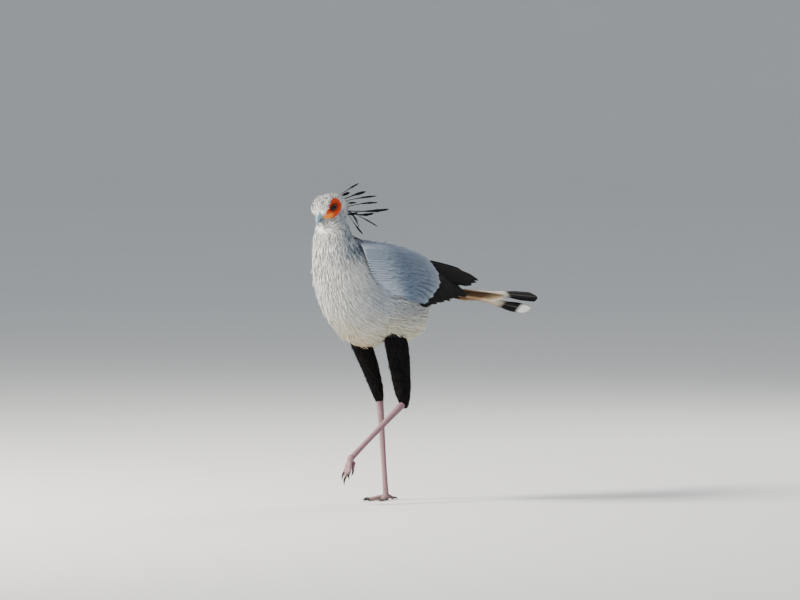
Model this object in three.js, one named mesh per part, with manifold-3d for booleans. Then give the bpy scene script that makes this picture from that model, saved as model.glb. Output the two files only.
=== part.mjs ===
// A secretary bird in mid stride, life size, standing on its right foot with the left foot lifted.
// Millimetres, +Z up. The bird faces -Y and its left side is +X. The origin is on the floor under the
// ball of the standing foot.
import * as THREE from "three";
import { mergeVertices } from "three/addons/utils/BufferGeometryUtils.js";
import Module from "manifold-3d";

const wasm = await Module();
wasm.setup();

const at = (x, y, z) => new THREE.Vector3(x, y, z);
const ORIGIN = at(0, 0, 0);
const LEFT = at(1, 0, 0);
const BACK = at(0, 1, 0);
const UP = at(0, 0, 1);
const mirrored = (p, side) => at(p.x * side, p.y, p.z);

// The gap that parts the nodes, and the size under which a detail of a cut is smoothed away.
const GAP = 0.3;
const SHORTEST_EDGE = 0.04;

// Body outline, from the rump forward along the back and up the neck. A row gives the point on the
// back line (y, z), the point on the belly and breast line (y, z) and the half width.
const BODY_ROWS = [
  [226, 718, 206, 672, 26],
  [190, 766, 166, 622, 66],
  [120, 818, 82, 558, 94],
  [40, 844, -20, 526, 104],
  [-50, 856, -110, 512, 110],
  [-118, 866, -198, 556, 112],
  [-158, 878, -258, 646, 108],
  [-182, 890, -286, 735, 86],
  [-194, 911, -297, 815, 72],
  [-195, 940, -305, 868, 57],
  [-189, 972, -291, 932, 47],
];
const BODY_SIDES = 22;
const TORSO_END = 7.3;
const NECK_SPLIT = 8.5;

// Head: where its centre is, how it is turned, and its outline in its own frame, in which the bill
// points along -y. The rows are as those of the body.
const HEAD = { centre: at(0, -268, 968), yaw: 4, pitch: 28 };
const HEAD_ROWS = [
  [82, -22, 78, -40, 14],
  [70, 14, 60, -52, 34],
  [42, 40, 36, -54, 43],
  [8, 49, 6, -46, 45],
  [-16, 47, -14, -36, 43],
  [-31, 38, -27, -27, 36],
  [-40, 26, -35, -20, 25],
];
const HEAD_SIDES = 22;
const NAPE_CUT = 52;

// Bill, in the head's frame: rows of both mandibles, and where the cere ends.
const BILL_UPPER_ROWS = [
  [-30, 20, -30, -14, 17],
  [-42, 13, -41, -15, 13.5],
  [-52, 6, -50, -16, 10.5],
  [-60, -4, -56, -19, 7.5],
  [-65, -17, -60, -25, 4.5],
  [-65.5, -31, -63.5, -33, 1.2],
];
const BILL_LOWER_ROWS = [
  [-26, -15.5, -26, -28, 14],
  [-40, -16.6, -38, -26, 11],
  [-50, -18, -47, -25, 7],
  [-54, -21.5, -52, -26, 3.5],
];
const BILL_SIDES = 12;
const CERE_END = 1.05;
const NOSTRIL = { x: 13, y: -40, z: 4, length: 7, height: 2.6, depth: 4 };

// Bare face and eye, in the head's frame.
const FACE = { sides: 16, y: -9, z: 4, halfLength: 36, halfHeight: 29, inner: 24, proud: 0.9, slope: 0.25 };
const EYE = { x: 36.6, y: -9, z: 9, radius: 11.5 };
const LID = { ring: 9.6, thick: 2, squint: 0.8, x: 43.4 };
const BROW = { front: at(33, -32, 17), rear: at(43, 8, 26), radius: 4 };

// Crest: the feathers from the crown to the nape, on the left side: height of the root in the head's
// frame, elevation of the feather above the floor in degrees, length, bend and half width.
const CREST_ROWS = [
  [12, 32, 76, -3, 4],
  [-4, 19, 82, -5, 6.5],
  [-12, 9, 120, -6, 4.5],
  [-32, 8, 108, -9, 4.5],
  [-44, 1.5, 148, 9, 6.5],
  [-47, -4, 92, 16, 6],
  [-40, -27, 126, -6, 3],
  [-49, -54, 92, 8, 4],
];
const CREST = { near: 38, far: -4, farScale: 0.84, farRows: [1, 3, 5, 7], y: 64, spread: 8, thick: 1.5 };

// Wing: the surfaces on which its feathers lie, for the left wing. Each is a fan from a line of
// roots to a line of tips, bulging outwards between them.
const WING = {
  coverts: {
    roots: [at(38, -138, 856), at(96, -146, 846), at(122, -142, 802), at(124, -116, 738), at(114, -66, 686)],
    tips: [at(32, 122, 816), at(46, 148, 796), at(61, 172, 762), at(75, 180, 722), at(89, 150, 686), at(99, 94, 646)],
    bulge: at(22, 0, 8),
    thick: 15,
  },
  secondaries: {
    roots: [at(44, 70, 778), at(66, 76, 745), at(82, 66, 705), at(92, 30, 668)],
    tips: [at(46, 330, 664), at(60, 268, 660), at(74, 205, 652), at(86, 150, 647), at(94, 98, 637)],
    bulge: at(8, 4, 8),
    thick: 5,
  },
  primaries: {
    roots: [at(30, 110, 786), at(42, 110, 758), at(50, 110, 728)],
    tips: [at(26, 400, 718), at(34, 380, 709), at(41, 350, 701)],
    bulge: at(4, 0, 6),
    thick: 4,
  },
  grid: [9, 8],
};

// How the right wing differs from a mirror image of the left one: it is held higher and further in.
const RIGHT_WING = { lift: 2.5, shift: at(0, -16, 0), pivot: at(-60, -120, 800) };

// Tail: its root, its direction, one smooth form for the short feathers, as distances from the root
// with radii across and deep, and the two long middle feathers.
const TAIL = {
  root: at(0, 214, 694),
  droop: 7.6,
  bundle: [[-20, 20, 18], [40, 27, 17], [115, 30, 12], [210, 27, 10], [300, 22, 7], [340, 12, 2]],
  middle: {
    left: { length: 452, droop: 11.2, start: at(5, 0, 1) },
    right: { length: 512, droop: 5.8, start: at(-4, 0, 5) },
  },
  spread: 1.2,
  halfWidth: 22,
  roll: 52,
  thick: 2,
};

// Legs, from the hip down to the ankle and on to the ball of the foot.
const LEGS = {
  left: {
    thigh: [at(62, -40, 600), at(64, -26, 560), at(66, -12, 500), at(70, -1, 422), at(73, 6, 360), at(76, 13, 311)],
    thighRadii: [[30, 36], [34, 40], [35, 41], [31, 34], [26, 27], [13, 13]],
    ankle: at(75, 9, 324),
    ball: at(64, -222, 151),
  },
  right: {
    thigh: [at(-57, -92, 600), at(-54, -82, 560), at(-46, -60, 500), at(-36, -30, 422), at(-29, -12, 360), at(-25, -4, 324)],
    thighRadii: [[30, 36], [32, 38], [31, 35], [26, 28], [20, 21], [12.5, 12.5]],
    ankle: at(-25, -4, 328),
    ball: at(0, 0, 11),
  },
};
const SHANK_RADII = [[12, 13], [10, 11], [9, 9.5], [8.5, 9], [10, 10.5]];

// Flank feathers that cover the top of each thigh.
const FLANK = {
  path: [at(60, -90, 610), at(62, -30, 594), at(58, 40, 590), at(50, 90, 612), at(44, 124, 650)],
  radii: [[26, 30], [46, 58], [50, 60], [38, 46], [16, 18]],
};

// Feet: the ball, and each toe with its angle from straight ahead, length and claw length.
const BALL_RADIUS = 12.5;
const TOES = [
  { name: "middle", angle: 0, length: 66, claw: 24 },
  { name: "inner", angle: -33, length: 48, claw: 24 },
  { name: "outer", angle: 33, length: 50, claw: 20 },
  { name: "hind", angle: 176, length: 25, claw: 22 },
];
const TOE_START = 8;
const TOE_RADII = [8.4, 7.6, 8, 6.4, 6.6, 5.2];
const TOE_SIDES = 8;
const CLAW_RADII = [[4.3, 4.6], [3.2, 3.8], [1.8, 2.2], [0.5, 0.6]];
// How far along the claw, and how far above the toe's end, each point of its curve is.
const CLAW_CURVE = [[0, 1], [0.45, 2.4], [0.85, -0.6], [1, -3.6]];
const CLAW_ROOT = 3;
// How a foot holds its toes: the ends are lower than the ball by drop, the toes are pitched down in
// degrees, spread by a share of their angles and shortened by a bend.
const STANDING = { drop: 1, pitch: 0, hindPitch: 0, hindRise: 1.5, spread: 1, bent: 1, turn: 3 };
const LIFTED = { drop: 0, pitch: 69, hindPitch: -101, hindRise: 13, spread: 0.4, bent: 0.86, turn: 0 };
const FLAT_DEPTH = 1.2;

const MATERIALS = {
  white_feather: { color: 0xdfe1e2, roughness: 0.9 },
  grey_feather: { color: 0x9fb0c2, roughness: 0.85 },
  black_feather: { color: 0x15151a, roughness: 0.8 },
  tail_feather: { color: 0xb59a78, roughness: 0.85 },
  face_skin: { color: 0xd8481c, roughness: 0.6 },
  cere: { color: 0xe2cf9c, roughness: 0.5 },
  bill: { color: 0x7d98a8, roughness: 0.4 },
  eye: { color: 0x1d120d, roughness: 0.1 },
  leg_skin: { color: 0xc79aa8, roughness: 0.65 },
  claw: { color: 0x1c1a1b, roughness: 0.4 },
};

const part = new THREE.Group();

// Geometry helpers

// A Catmull-Rom curve through rows of numbers, with one unit of t from row to row.
function smooth(rows) {
  const last = rows.length - 1;
  return (t) => {
    const i = Math.max(0, Math.min(Math.floor(t), last - 1));
    const f = t - i;
    const [a, b, c, d] = [rows[Math.max(i - 1, 0)], rows[i], rows[i + 1], rows[Math.min(i + 2, last)]];
    return b.map((_, k) => {
      const slope = c[k] - a[k];
      const bend = 2 * a[k] - 5 * b[k] + 4 * c[k] - d[k];
      const twist = 3 * b[k] - a[k] - 3 * c[k] + d[k];
      return b[k] + 0.5 * (slope * f + bend * f * f + twist * f * f * f);
    });
  };
}

function smoothPoints(points) {
  const curve = smooth(points.map((p) => p.toArray()));
  return (t) => at(...curve(t));
}

function steps(count, from, to) {
  return Array.from({ length: count }, (_, i) => from + ((to - from) * i) / (count - 1));
}

// The same steps, with one more at each end where there is a margin.
function widened(places, margin) {
  return margin ? [places[0] - margin, ...places, places.at(-1) + margin] : places;
}

// A closed solid through rings of points, all with as many points. Its ends are capped with fans
// about their centres, or with strips where the rings run out along one face and back on the other.
function loft(rings, strips = false) {
  const around = rings[0].length;
  const points = [...rings.flat(), ...(strips ? [] : [centreOf(rings[0]), centreOf(rings.at(-1))])];
  const first = rings.length * around;
  const faces = [];
  for (let i = 0; i < rings.length - 1; i++)
    for (let j = 0; j < around; j++) {
      const [a, b] = [i * around + j, i * around + ((j + 1) % around)];
      faces.push(a, b, b + around, a, b + around, a + around);
    }
  const lastRing = (rings.length - 1) * around;
  for (let j = 0; j < around; j++) {
    const next = (j + 1) % around;
    if (!strips) faces.push(first, next, j, first + 1, lastRing + j, lastRing + next);
    else if (j < around / 2 - 1) {
      const back = around - 1 - j;
      faces.push(j, back, next, next, back, back - 1);
      faces.push(lastRing + j, lastRing + next, lastRing + back);
      faces.push(lastRing + next, lastRing + back - 1, lastRing + back);
    }
  }
  return solidOf(points, faces);
}

function centreOf(ring) {
  return ring.reduce((sum, p) => sum.clone().add(p), ORIGIN).divideScalar(ring.length);
}

// A manifold solid from points and faces, turned so that its faces point outwards.
function solidOf(points, faces) {
  const bare = new THREE.BufferGeometry();
  bare.setAttribute("position", new THREE.Float32BufferAttribute(points.flatMap((p) => p.toArray()), 3));
  bare.setIndex(faces);
  const merged = mergeVertices(bare, 1e-4);
  const triVerts = new Uint32Array(merged.index.array);
  if (signedVolume(merged) < 0)
    for (let i = 0; i < triVerts.length; i += 3)
      [triVerts[i + 1], triVerts[i + 2]] = [triVerts[i + 2], triVerts[i + 1]];
  const vertProperties = merged.attributes.position.array;
  return new wasm.Manifold(new wasm.Mesh({ numProp: 3, vertProperties, triVerts }));
}

function signedVolume(geometry) {
  const { position } = geometry.attributes;
  const corner = (i) => at(...[0, 1, 2].map((k) => position.getComponent(geometry.index.getX(i), k)));
  let six = 0;
  for (let i = 0; i < geometry.index.count; i += 3) six += corner(i).dot(corner(i + 1).cross(corner(i + 2)));
  return six;
}

// The largest closed surface of a solid.
function largest(solid) {
  return solid.decompose().sort((a, b) => b.volume() - a.volume())[0];
}

function union(solids) {
  return solids.reduce((sum, s) => sum.add(s));
}

function addNode(name, material, solid) {
  const made = largest(solid.simplify(SHORTEST_EDGE)).getMesh();
  const geometry = new THREE.BufferGeometry();
  geometry.setAttribute("position", new THREE.Float32BufferAttribute(made.vertProperties, 3));
  geometry.setIndex(new THREE.BufferAttribute(made.triVerts, 1));
  geometry.computeVertexNormals();
  const mesh = new THREE.Mesh(geometry, new THREE.MeshStandardMaterial({ metalness: 0, ...MATERIALS[material] }));
  mesh.name = name;
  part.add(mesh);
}

// An outline in the middle plane and its half widths, as rows, which rings and solids are cut from.
class Outline {
  constructor(rows, sides, place = new THREE.Matrix4()) {
    Object.assign(this, { curve: smooth(rows), last: rows.length - 1, sides, place });
  }

  ring(t, swell = 0, slide = 0) {
    const [backY, backZ, frontY, frontZ, half] = this.curve(t);
    const reach = at(0, backY - frontY, backZ - frontZ).multiplyScalar(0.5);
    const middle = at(0, backY + frontY, backZ + frontZ).multiplyScalar(0.5);
    middle.add(LEFT.clone().cross(reach).normalize().multiplyScalar(slide));
    reach.setLength(reach.length() + swell);
    return steps(this.sides + 1, 0, 2 * Math.PI)
      .slice(0, -1)
      .map((a) =>
        middle
          .clone()
          .addScaledVector(reach, Math.cos(a))
          .addScaledVector(LEFT, (half + swell) * Math.sin(a))
          .applyMatrix4(this.place),
      );
  }

  // The solid between two places on the outline. The gap is half a gap taken off each end that is cut.
  solid(from, to, rings, { swell = 0, trim = [0, 0] } = {}) {
    const places = steps(rings, from, to);
    return loft(places.map((t, i) => this.ring(t, swell, i === 0 ? trim[0] : i === rings - 1 ? -trim[1] : 0)));
  }
}

// A limb through path points, with a pair of radii at each: across, along the side direction, and
// deep, square to it.
function limb(path, radii, { side = LEFT, sides = 12, rings = 10, swell = 0 } = {}) {
  const line = smoothPoints(path);
  const sizes = smooth(radii.map((r) => (Array.isArray(r) ? r : [r, r])));
  const last = path.length - 1;
  const share = (radii.length - 1) / last;
  return loft(
    steps(rings, 0, last).map((t) => {
      const ahead = line(Math.min(t + 0.05, last)).sub(line(Math.max(t - 0.05, 0))).normalize();
      const across = side.clone().addScaledVector(ahead, -side.dot(ahead)).normalize();
      const deep = ahead.clone().cross(across);
      const [wide, thick] = sizes(t * share).map((r) => r + swell);
      return steps(sides + 1, 0, 2 * Math.PI)
        .slice(0, -1)
        .map((a) =>
          line(t)
            .addScaledVector(across, wide * Math.cos(a))
            .addScaledVector(deep, thick * Math.sin(a)),
        );
    }),
  );
}

// A ball, or an ellipsoid where a radius is given as a vector.
function ball(centre, radius, sides = 10) {
  const radii = typeof radius === "number" ? at(radius, radius, radius) : radius;
  const rings = steps(Math.round(sides * 0.7), 0.12, Math.PI - 0.12).map((polar) =>
    steps(sides + 1, 0, 2 * Math.PI)
      .slice(0, -1)
      .map((a) => {
        const out = Math.sin(polar);
        return at(out * Math.cos(a), out * Math.sin(a), Math.cos(polar)).multiply(radii).add(centre);
      }),
  );
  return loft(rings);
}

// A torus about an axis through its centre, squeezed to an almond by squint.
function hoop(centre, axis, ring, thick, squint, sides = 14) {
  const turn = new THREE.Quaternion().setFromUnitVectors(UP, axis.clone().normalize());
  const profile = steps(6, 0, 2 * Math.PI).slice(0, -1);
  const points = [];
  const faces = [];
  for (let i = 0; i < sides; i++) {
    const a = (2 * Math.PI * i) / sides;
    for (const b of profile) {
      const out = ring + thick * Math.cos(b);
      const p = at(out * Math.cos(a) * squint, out * Math.sin(a), thick * Math.sin(b));
      points.push(p.applyQuaternion(turn).add(centre));
    }
  }
  const n = profile.length;
  for (let i = 0; i < sides; i++)
    for (let j = 0; j < n; j++) {
      const [a, b] = [i * n + j, i * n + ((j + 1) % n)];
      const [c, d] = [((i + 1) % sides) * n + j, ((i + 1) % sides) * n + ((j + 1) % n)];
      faces.push(a, b, d, a, d, c);
    }
  return solidOf(points, faces);
}

// A feather: stations of a centre point, the surface normal there and half widths to either side.
// Its section is a flat chevron, thick at the shaft, whose edges drop by cup and lean by tilt.
function vane(stations, thick) {
  return loft(
    stations.map(({ centre, normal, along, half, cup = 0, tilt = 0 }) => {
      const across = along.clone().cross(normal).normalize();
      const edge = (side) =>
        centre
          .clone()
          .addScaledVector(across, side * half)
          .addScaledVector(normal, -cup * half + side * tilt * half);
      const shaft = (side) => centre.clone().addScaledVector(normal, (side * thick) / 2);
      return [edge(-1), shaft(1), edge(1), shaft(-1)];
    }),
  );
}

// Half width along a feather as a share of its widest: a long tail feather that widens towards its
// round tip, and a crest feather that is a bare shaft for half its length.
const RACKET = [[0, 0.4], [0.6, 0.5], [0.8, 0.95], [0.94, 1], [1, 0.45]];
const SPATULATE = [[0, 0.3], [0.38, 0.34], [0.7, 1], [0.92, 0.7], [1, 0.1]];

// A fan of feathers: a surface from a line of roots to a line of tips, with a bulge between them.
class Fan {
  constructor({ roots, tips, bulge, thick }, place) {
    Object.assign(this, { roots, tips, bulge, thick, place });
    this.rootLine = smoothPoints(roots);
    this.tipLine = smoothPoints(tips);
  }

  raw(g, s) {
    const root = this.rootLine(g * (this.roots.length - 1));
    const tip = this.tipLine(g * (this.tips.length - 1));
    return root.lerp(tip, s).addScaledVector(this.bulge, 4 * s * (1 - s));
  }

  // Point, outward normal and direction along the feathers at share g of the fan and s of its length.
  frame(g, s, lift = 0) {
    const step = 0.01;
    const across = this.raw(g + step, s).sub(this.raw(g - step, s));
    const along = this.raw(g, s + step).sub(this.raw(g, s - step));
    const normal = along.clone().cross(across).normalize();
    if (normal.x < 0) normal.negate();
    const point = this.raw(g, s).addScaledVector(normal, lift);
    const end = this.place(point.clone().addScaledVector(normal, 1));
    const ahead = this.place(point.clone().add(along.normalize()));
    const centre = this.place(point);
    return { centre, normal: end.sub(centre), along: ahead.sub(centre) };
  }

  // One smooth plate over the whole fan, from the surface inwards, thinner towards its tips.
  plate(margin = 0) {
    const [across, along] = WING.grid;
    const ends = margin / this.raw(0.5, 0).distanceTo(this.raw(0.5, 1));
    return loft(
      widened(steps(along, 0, 1), ends).map((s) => {
        const inner = -this.thick * (1 - 0.55 * s * s) - margin;
        const rims = margin / this.raw(0, s).distanceTo(this.raw(1, s));
        const shares = widened(steps(across, 0, 1), rims);
        const top = shares.map((g) => this.frame(g, s, margin).centre);
        const under = shares.map((g) => this.frame(g, s, inner).centre);
        return [...top, ...under.reverse()];
      }),
      true,
    );
  }
}

// Torso and neck
const body = new Outline(BODY_ROWS, BODY_SIDES);
function torsoSolid(swell, trim) {
  const flanks = [1, -1].map((side) => {
    const path = FLANK.path.map((p) => mirrored(p, side));
    return limb(path, FLANK.radii, { sides: 12, rings: 7, swell });
  });
  return union([body.solid(0, TORSO_END, 15, { swell, trim }), ...flanks]);
}
const torso = torsoSolid(0, [0, GAP / 2]);
const torsoRoom = torsoSolid(GAP, [-GAP, 0]);
const headPlace = new THREE.Matrix4()
  .makeTranslation(HEAD.centre)
  .multiply(new THREE.Matrix4().makeRotationZ(THREE.MathUtils.degToRad(HEAD.yaw)))
  .multiply(new THREE.Matrix4().makeRotationX(THREE.MathUtils.degToRad(HEAD.pitch)));
const inHead = (x, y, z) => at(x, y, z).applyMatrix4(headPlace);
const headLine = new Outline(HEAD_ROWS, HEAD_SIDES, headPlace);
const headRoom = headLine.solid(0, headLine.last, 12, { swell: GAP });

const neckRoom = body.solid(NECK_SPLIT, body.last, 7, { swell: GAP });
const faceRoom = union([1, -1].map((side) => facePlug(side, GAP)))
  .intersect(headLine.solid(0, headLine.last, 12, { swell: FACE.proud + GAP }))
  .add(headRoom);

addNode("torso", "white_feather", torso);
addNode("neck_lower", "white_feather", body.solid(TORSO_END, NECK_SPLIT, 4, { trim: [GAP / 2, GAP / 2] }));
addNode(
  "neck_upper",
  "white_feather",
  body.solid(NECK_SPLIT, body.last, 7, { trim: [GAP / 2, 0] }).subtract(faceRoom),
);

// Head
function facePlug(side, margin) {
  const ring = (x) =>
    steps(FACE.sides + 1, 0, 2 * Math.PI)
      .slice(0, -1)
      .map((a) => {
        const y = Math.cos(a) * (FACE.halfLength + margin);
        const z = Math.sin(a) * (FACE.halfHeight + margin) * (1 + 0.2 * Math.cos(a)) + FACE.slope * y;
        return inHead(side * x, FACE.y + y, FACE.z + z);
      });
  return loft([ring(FACE.inner - margin), ring(60)]);
}

const napeNormal = at(0, 1, 0).transformDirection(headPlace);
const napeOffset = (y) => napeNormal.dot(inHead(0, y, 0));
const wholeHead = headLine.solid(0, headLine.last, 12);
const sides = { left: 1, right: -1 };

function eyeBall(side, margin = 0) {
  return ball(inHead(side * EYE.x, EYE.y, EYE.z), EYE.radius + margin, 12);
}

let head = wholeHead.trimByPlane(napeNormal.clone().negate().toArray(), -napeOffset(NAPE_CUT));
for (const side of Object.values(sides)) head = head.subtract(facePlug(side, GAP));
addNode("head", "white_feather", head);

for (const [name, side] of Object.entries(sides)) {
  const skin = headLine.solid(0, headLine.last, 12, { swell: FACE.proud }).intersect(facePlug(side, 0));
  const axis = at(side, -0.2, 0.05).transformDirection(headPlace);
  const lid = hoop(inHead(side * LID.x, EYE.y, EYE.z), axis, LID.ring, LID.thick, LID.squint);
  const brow = limb(
    [BROW.front, BROW.front.clone().lerp(BROW.rear, 0.5).add(at(1, 0, 2)), BROW.rear].map((p) =>
      inHead(...mirrored(p, side).toArray()),
    ),
    [1.5, BROW.radius, 1.5],
    { side: UP, sides: 6, rings: 5 },
  );
  addNode(`face_${name}`, "face_skin", union([skin, lid, brow.intersect(facePlug(side, 0))]).subtract(eyeBall(side, GAP)));
  addNode(`eye_${name}`, "eye", eyeBall(side));
}

// Bill: the cere is the root of the upper mandible, parted from it by a thin cut.
const upperBill = new Outline(BILL_UPPER_ROWS, BILL_SIDES, headPlace);
const lowerBill = new Outline(BILL_LOWER_ROWS, BILL_SIDES, headPlace);
let cere = upperBill.solid(0, CERE_END, 5, { trim: [0, GAP / 2] }).subtract(faceRoom);
for (const side of Object.values(sides)) {
  const slit = at(NOSTRIL.depth, NOSTRIL.length, NOSTRIL.height).multiplyScalar(0.5);
  cere = cere.subtract(ball(inHead(side * NOSTRIL.x, NOSTRIL.y, NOSTRIL.z), slit, 8));
}
addNode("cere", "cere", cere);
addNode("bill_upper", "bill", upperBill.solid(CERE_END, upperBill.last, 10, { trim: [GAP / 2, 0] }));
addNode("bill_lower", "bill", lowerBill.solid(0, lowerBill.last, 7).subtract(faceRoom).subtract(neckRoom));

// Crest: the back of the head, with the long feathers that grow from it.
function crestFeather([height, elevation, length, bend, halfWidth], index, side) {
  const near = side > 0;
  const turn = THREE.MathUtils.degToRad(near ? CREST.near - 4 * (index % 3) : CREST.far + 5 * (index % 3));
  const rise = THREE.MathUtils.degToRad(elevation);
  const reach = length * (near ? 1 : CREST.farScale);
  const ahead = at(Math.sin(turn) * Math.cos(rise), Math.cos(turn) * Math.cos(rise), Math.sin(rise));
  const root = inHead(side * CREST.spread * (1 + (index % 2)), CREST.y, height);
  const flat = at(Math.cos(turn), -Math.sin(turn), 0.35).normalize();
  const stations = SPATULATE.map(([s, width]) => ({
    centre: root
      .clone()
      .addScaledVector(ahead, reach * s)
      .addScaledVector(UP, bend * (s * s - s) * 2),
    normal: flat,
    along: ahead,
    half: halfWidth * width,
    cup: 0.1,
  }));
  return vane(stations, CREST.thick);
}

const nape = wholeHead.trimByPlane(napeNormal.toArray(), napeOffset(NAPE_CUT + GAP));
const crest = [
  ...CREST_ROWS.map((row, i) => crestFeather(row, i, 1)),
  ...CREST.farRows.map((i) => crestFeather(CREST_ROWS[i], i, -1)),
];
addNode("crest", "black_feather", union([nape, ...crest]).subtract(body.solid(6.9, body.last, 9, { swell: GAP })));

// Wings
function wing(name, side) {
  const lift = THREE.MathUtils.degToRad(RIGHT_WING.lift);
  const place = (p) => {
    const q = mirrored(p, side);
    if (side > 0) return q;
    return q.sub(RIGHT_WING.pivot).applyAxisAngle(LEFT, lift).add(RIGHT_WING.pivot).add(RIGHT_WING.shift);
  };
  const coverts = new Fan(WING.coverts, place);
  const secondaries = new Fan(WING.secondaries, place);
  const primaries = new Fan(WING.primaries, place);
  const around = torsoRoom.add(coverts.plate(GAP));
  const secondaryRoom = secondaries.plate(GAP);
  addNode(`wing_${name}_coverts`, "grey_feather", coverts.plate().subtract(torsoRoom));
  addNode(`wing_${name}_secondaries`, "black_feather", secondaries.plate().subtract(around));
  addNode(`wing_${name}_primaries`, "black_feather", primaries.plate().subtract(secondaryRoom).subtract(around));
  return secondaryRoom;
}
const wingRoom = union([wing("left", 1), wing("right", -1)]);

// Tail
function middleFeather({ length, droop, start }, side) {
  const fall = THREE.MathUtils.degToRad(droop);
  const spread = THREE.MathUtils.degToRad(TAIL.spread) * side;
  const ahead = at(Math.sin(spread), Math.cos(spread) * Math.cos(fall), -Math.sin(fall));
  const root = TAIL.root.clone().add(start);
  const roll = THREE.MathUtils.degToRad(TAIL.roll) * side;
  const stations = RACKET.map(([s, width]) => ({
    centre: root.clone().addScaledVector(ahead, length * s),
    normal: UP.clone().applyAxisAngle(ahead, -roll * (0.3 + 0.7 * s)).normalize(),
    along: ahead,
    half: TAIL.halfWidth * width,
    cup: 0.12,
  }));
  return vane(stations, TAIL.thick);
}

const tailAhead = BACK.clone().applyAxisAngle(LEFT, -THREE.MathUtils.degToRad(TAIL.droop));
const bundle = limb(
  TAIL.bundle.map(([distance]) => TAIL.root.clone().addScaledVector(tailAhead, distance)),
  TAIL.bundle.map(([, across, deep]) => [across, deep]),
  { sides: 14, rings: 9 },
);
const [rumpTopY, rumpTopZ, rumpFootY, rumpFootZ] = BODY_ROWS[0];
const rumpFoot = at(0, rumpFootY, rumpFootZ);
const rumpNormal = at(0, rumpTopY, rumpTopZ).sub(rumpFoot).cross(LEFT).normalize();
const middlePair = Object.entries(sides).map(([name, side]) => middleFeather(TAIL.middle[name], side));
const tail = union([bundle, ...middlePair]).subtract(wingRoom);
addNode("tail", "tail_feather", tail.trimByPlane(rumpNormal.toArray(), rumpNormal.dot(rumpFoot) + GAP));

// Legs and feet
function leg(name, side) {
  const { thigh, thighRadii, ankle, ball: ballCentre } = LEGS[name];
  const standing = name === "right";
  const shankLine = steps(5, 0, 1).map((s) => ankle.clone().lerp(ballCentre, s));
  const thighSolid = (swell) => limb(thigh, thighRadii, { sides: 14, rings: 9, swell });
  const shank = (swell) => limb(shankLine, SHANK_RADII, { sides: 10, rings: 6, swell });
  addNode(`thigh_${name}`, "black_feather", thighSolid(0).subtract(torsoRoom));
  const knuckle = (swell) => ball(ballCentre, BALL_RADIUS + swell);
  addNode(`shank_${name}`, "leg_skin", shank(0).subtract(thighSolid(GAP)).subtract(knuckle(GAP)));
  const floor = (solid) => (standing ? solid.trimByPlane([0, 0, 1], 0) : solid);
  addNode(`foot_${name}`, "leg_skin", floor(knuckle(0)));

  const pose = standing ? STANDING : LIFTED;
  const others = [knuckle(GAP), shank(GAP)];
  for (const toe of TOES) {
    const hind = toe.name === "hind";
    const fan = THREE.MathUtils.degToRad(toe.angle * (hind ? 1 : pose.spread)) * side;
    const place = new THREE.Matrix4()
      .makeTranslation(ballCentre)
      .multiply(new THREE.Matrix4().makeRotationZ(THREE.MathUtils.degToRad(side * pose.turn)))
      .multiply(new THREE.Matrix4().makeRotationX(THREE.MathUtils.degToRad(hind ? pose.hindPitch : pose.pitch)));
    const spot = (forward, height) =>
      at(Math.sin(fan) * forward, -Math.cos(fan) * forward, height).applyMatrix4(place);
    const end = TOE_START + toe.length * (hind ? 1 : pose.bent);
    const low = pose.drop * (TOE_RADII.at(-1) - ballCentre.z - FLAT_DEPTH);
    const line = [0, 0.3, 0.65, 1].map((s) => {
      const arch = 0.15 * TOE_RADII[0] * (1 - s);
      return spot(TOE_START + (end - TOE_START) * s, low * s + arch + (hind ? pose.hindRise : 0));
    });
    const toeSolid = (swell) => {
      const radii = TOE_RADII.map((r) => [r + swell, 0.92 * r + swell]);
      return limb(line, radii, { sides: TOE_SIDES, rings: 7 });
    };
    addNode(
      `toe_${name}_${toe.name}`,
      "leg_skin",
      floor(others.reduce((solid, other) => solid.subtract(other), toeSolid(0))),
    );
    others.push(toeSolid(GAP));
    const reach = toe.claw + CLAW_ROOT;
    const lift = hind ? pose.hindRise : 0;
    const clawLine = CLAW_CURVE.map(([s, rise]) => spot(end - CLAW_ROOT + reach * s, low + rise + lift * (1 - pose.drop)));
    const claw = limb(clawLine, CLAW_RADII, { sides: 6, rings: 5 });
    addNode(`claw_${name}_${toe.name}`, "claw", floor(claw.subtract(toeSolid(GAP))));
  }
}
leg("left", 1);
leg("right", -1);

export default part;
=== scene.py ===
"""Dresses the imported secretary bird: skin, feathers, bare parts, floor, light and camera.

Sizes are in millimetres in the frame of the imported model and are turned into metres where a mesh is
made. The bird faces -Y, its left side is +X, and the origin is under the ball of the standing foot.
"""

from __future__ import annotations

import logging
import math
from dataclasses import dataclass
from enum import Enum
from typing import Callable, Sequence

import bpy
import numpy as np
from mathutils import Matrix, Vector
from mathutils.bvhtree import BVHTree

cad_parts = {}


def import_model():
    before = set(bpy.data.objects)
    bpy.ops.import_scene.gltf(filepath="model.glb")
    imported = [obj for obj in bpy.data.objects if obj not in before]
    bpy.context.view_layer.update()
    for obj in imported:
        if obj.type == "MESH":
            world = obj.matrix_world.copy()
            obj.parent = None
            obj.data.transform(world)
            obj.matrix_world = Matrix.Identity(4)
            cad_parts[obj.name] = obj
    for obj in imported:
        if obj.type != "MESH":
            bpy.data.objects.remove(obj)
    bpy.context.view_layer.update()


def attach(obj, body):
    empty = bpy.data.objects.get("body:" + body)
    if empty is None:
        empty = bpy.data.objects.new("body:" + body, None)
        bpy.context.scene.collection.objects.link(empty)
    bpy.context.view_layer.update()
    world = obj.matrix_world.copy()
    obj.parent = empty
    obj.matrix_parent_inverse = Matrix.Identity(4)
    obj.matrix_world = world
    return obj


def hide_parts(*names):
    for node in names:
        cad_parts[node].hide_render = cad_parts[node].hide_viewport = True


MM = 0.001
LOG = logging.getLogger("bird")
LEFT = np.array([1.0, 0.0, 0.0])
UP = np.array([0.0, 0.0, 1.0])
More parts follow.
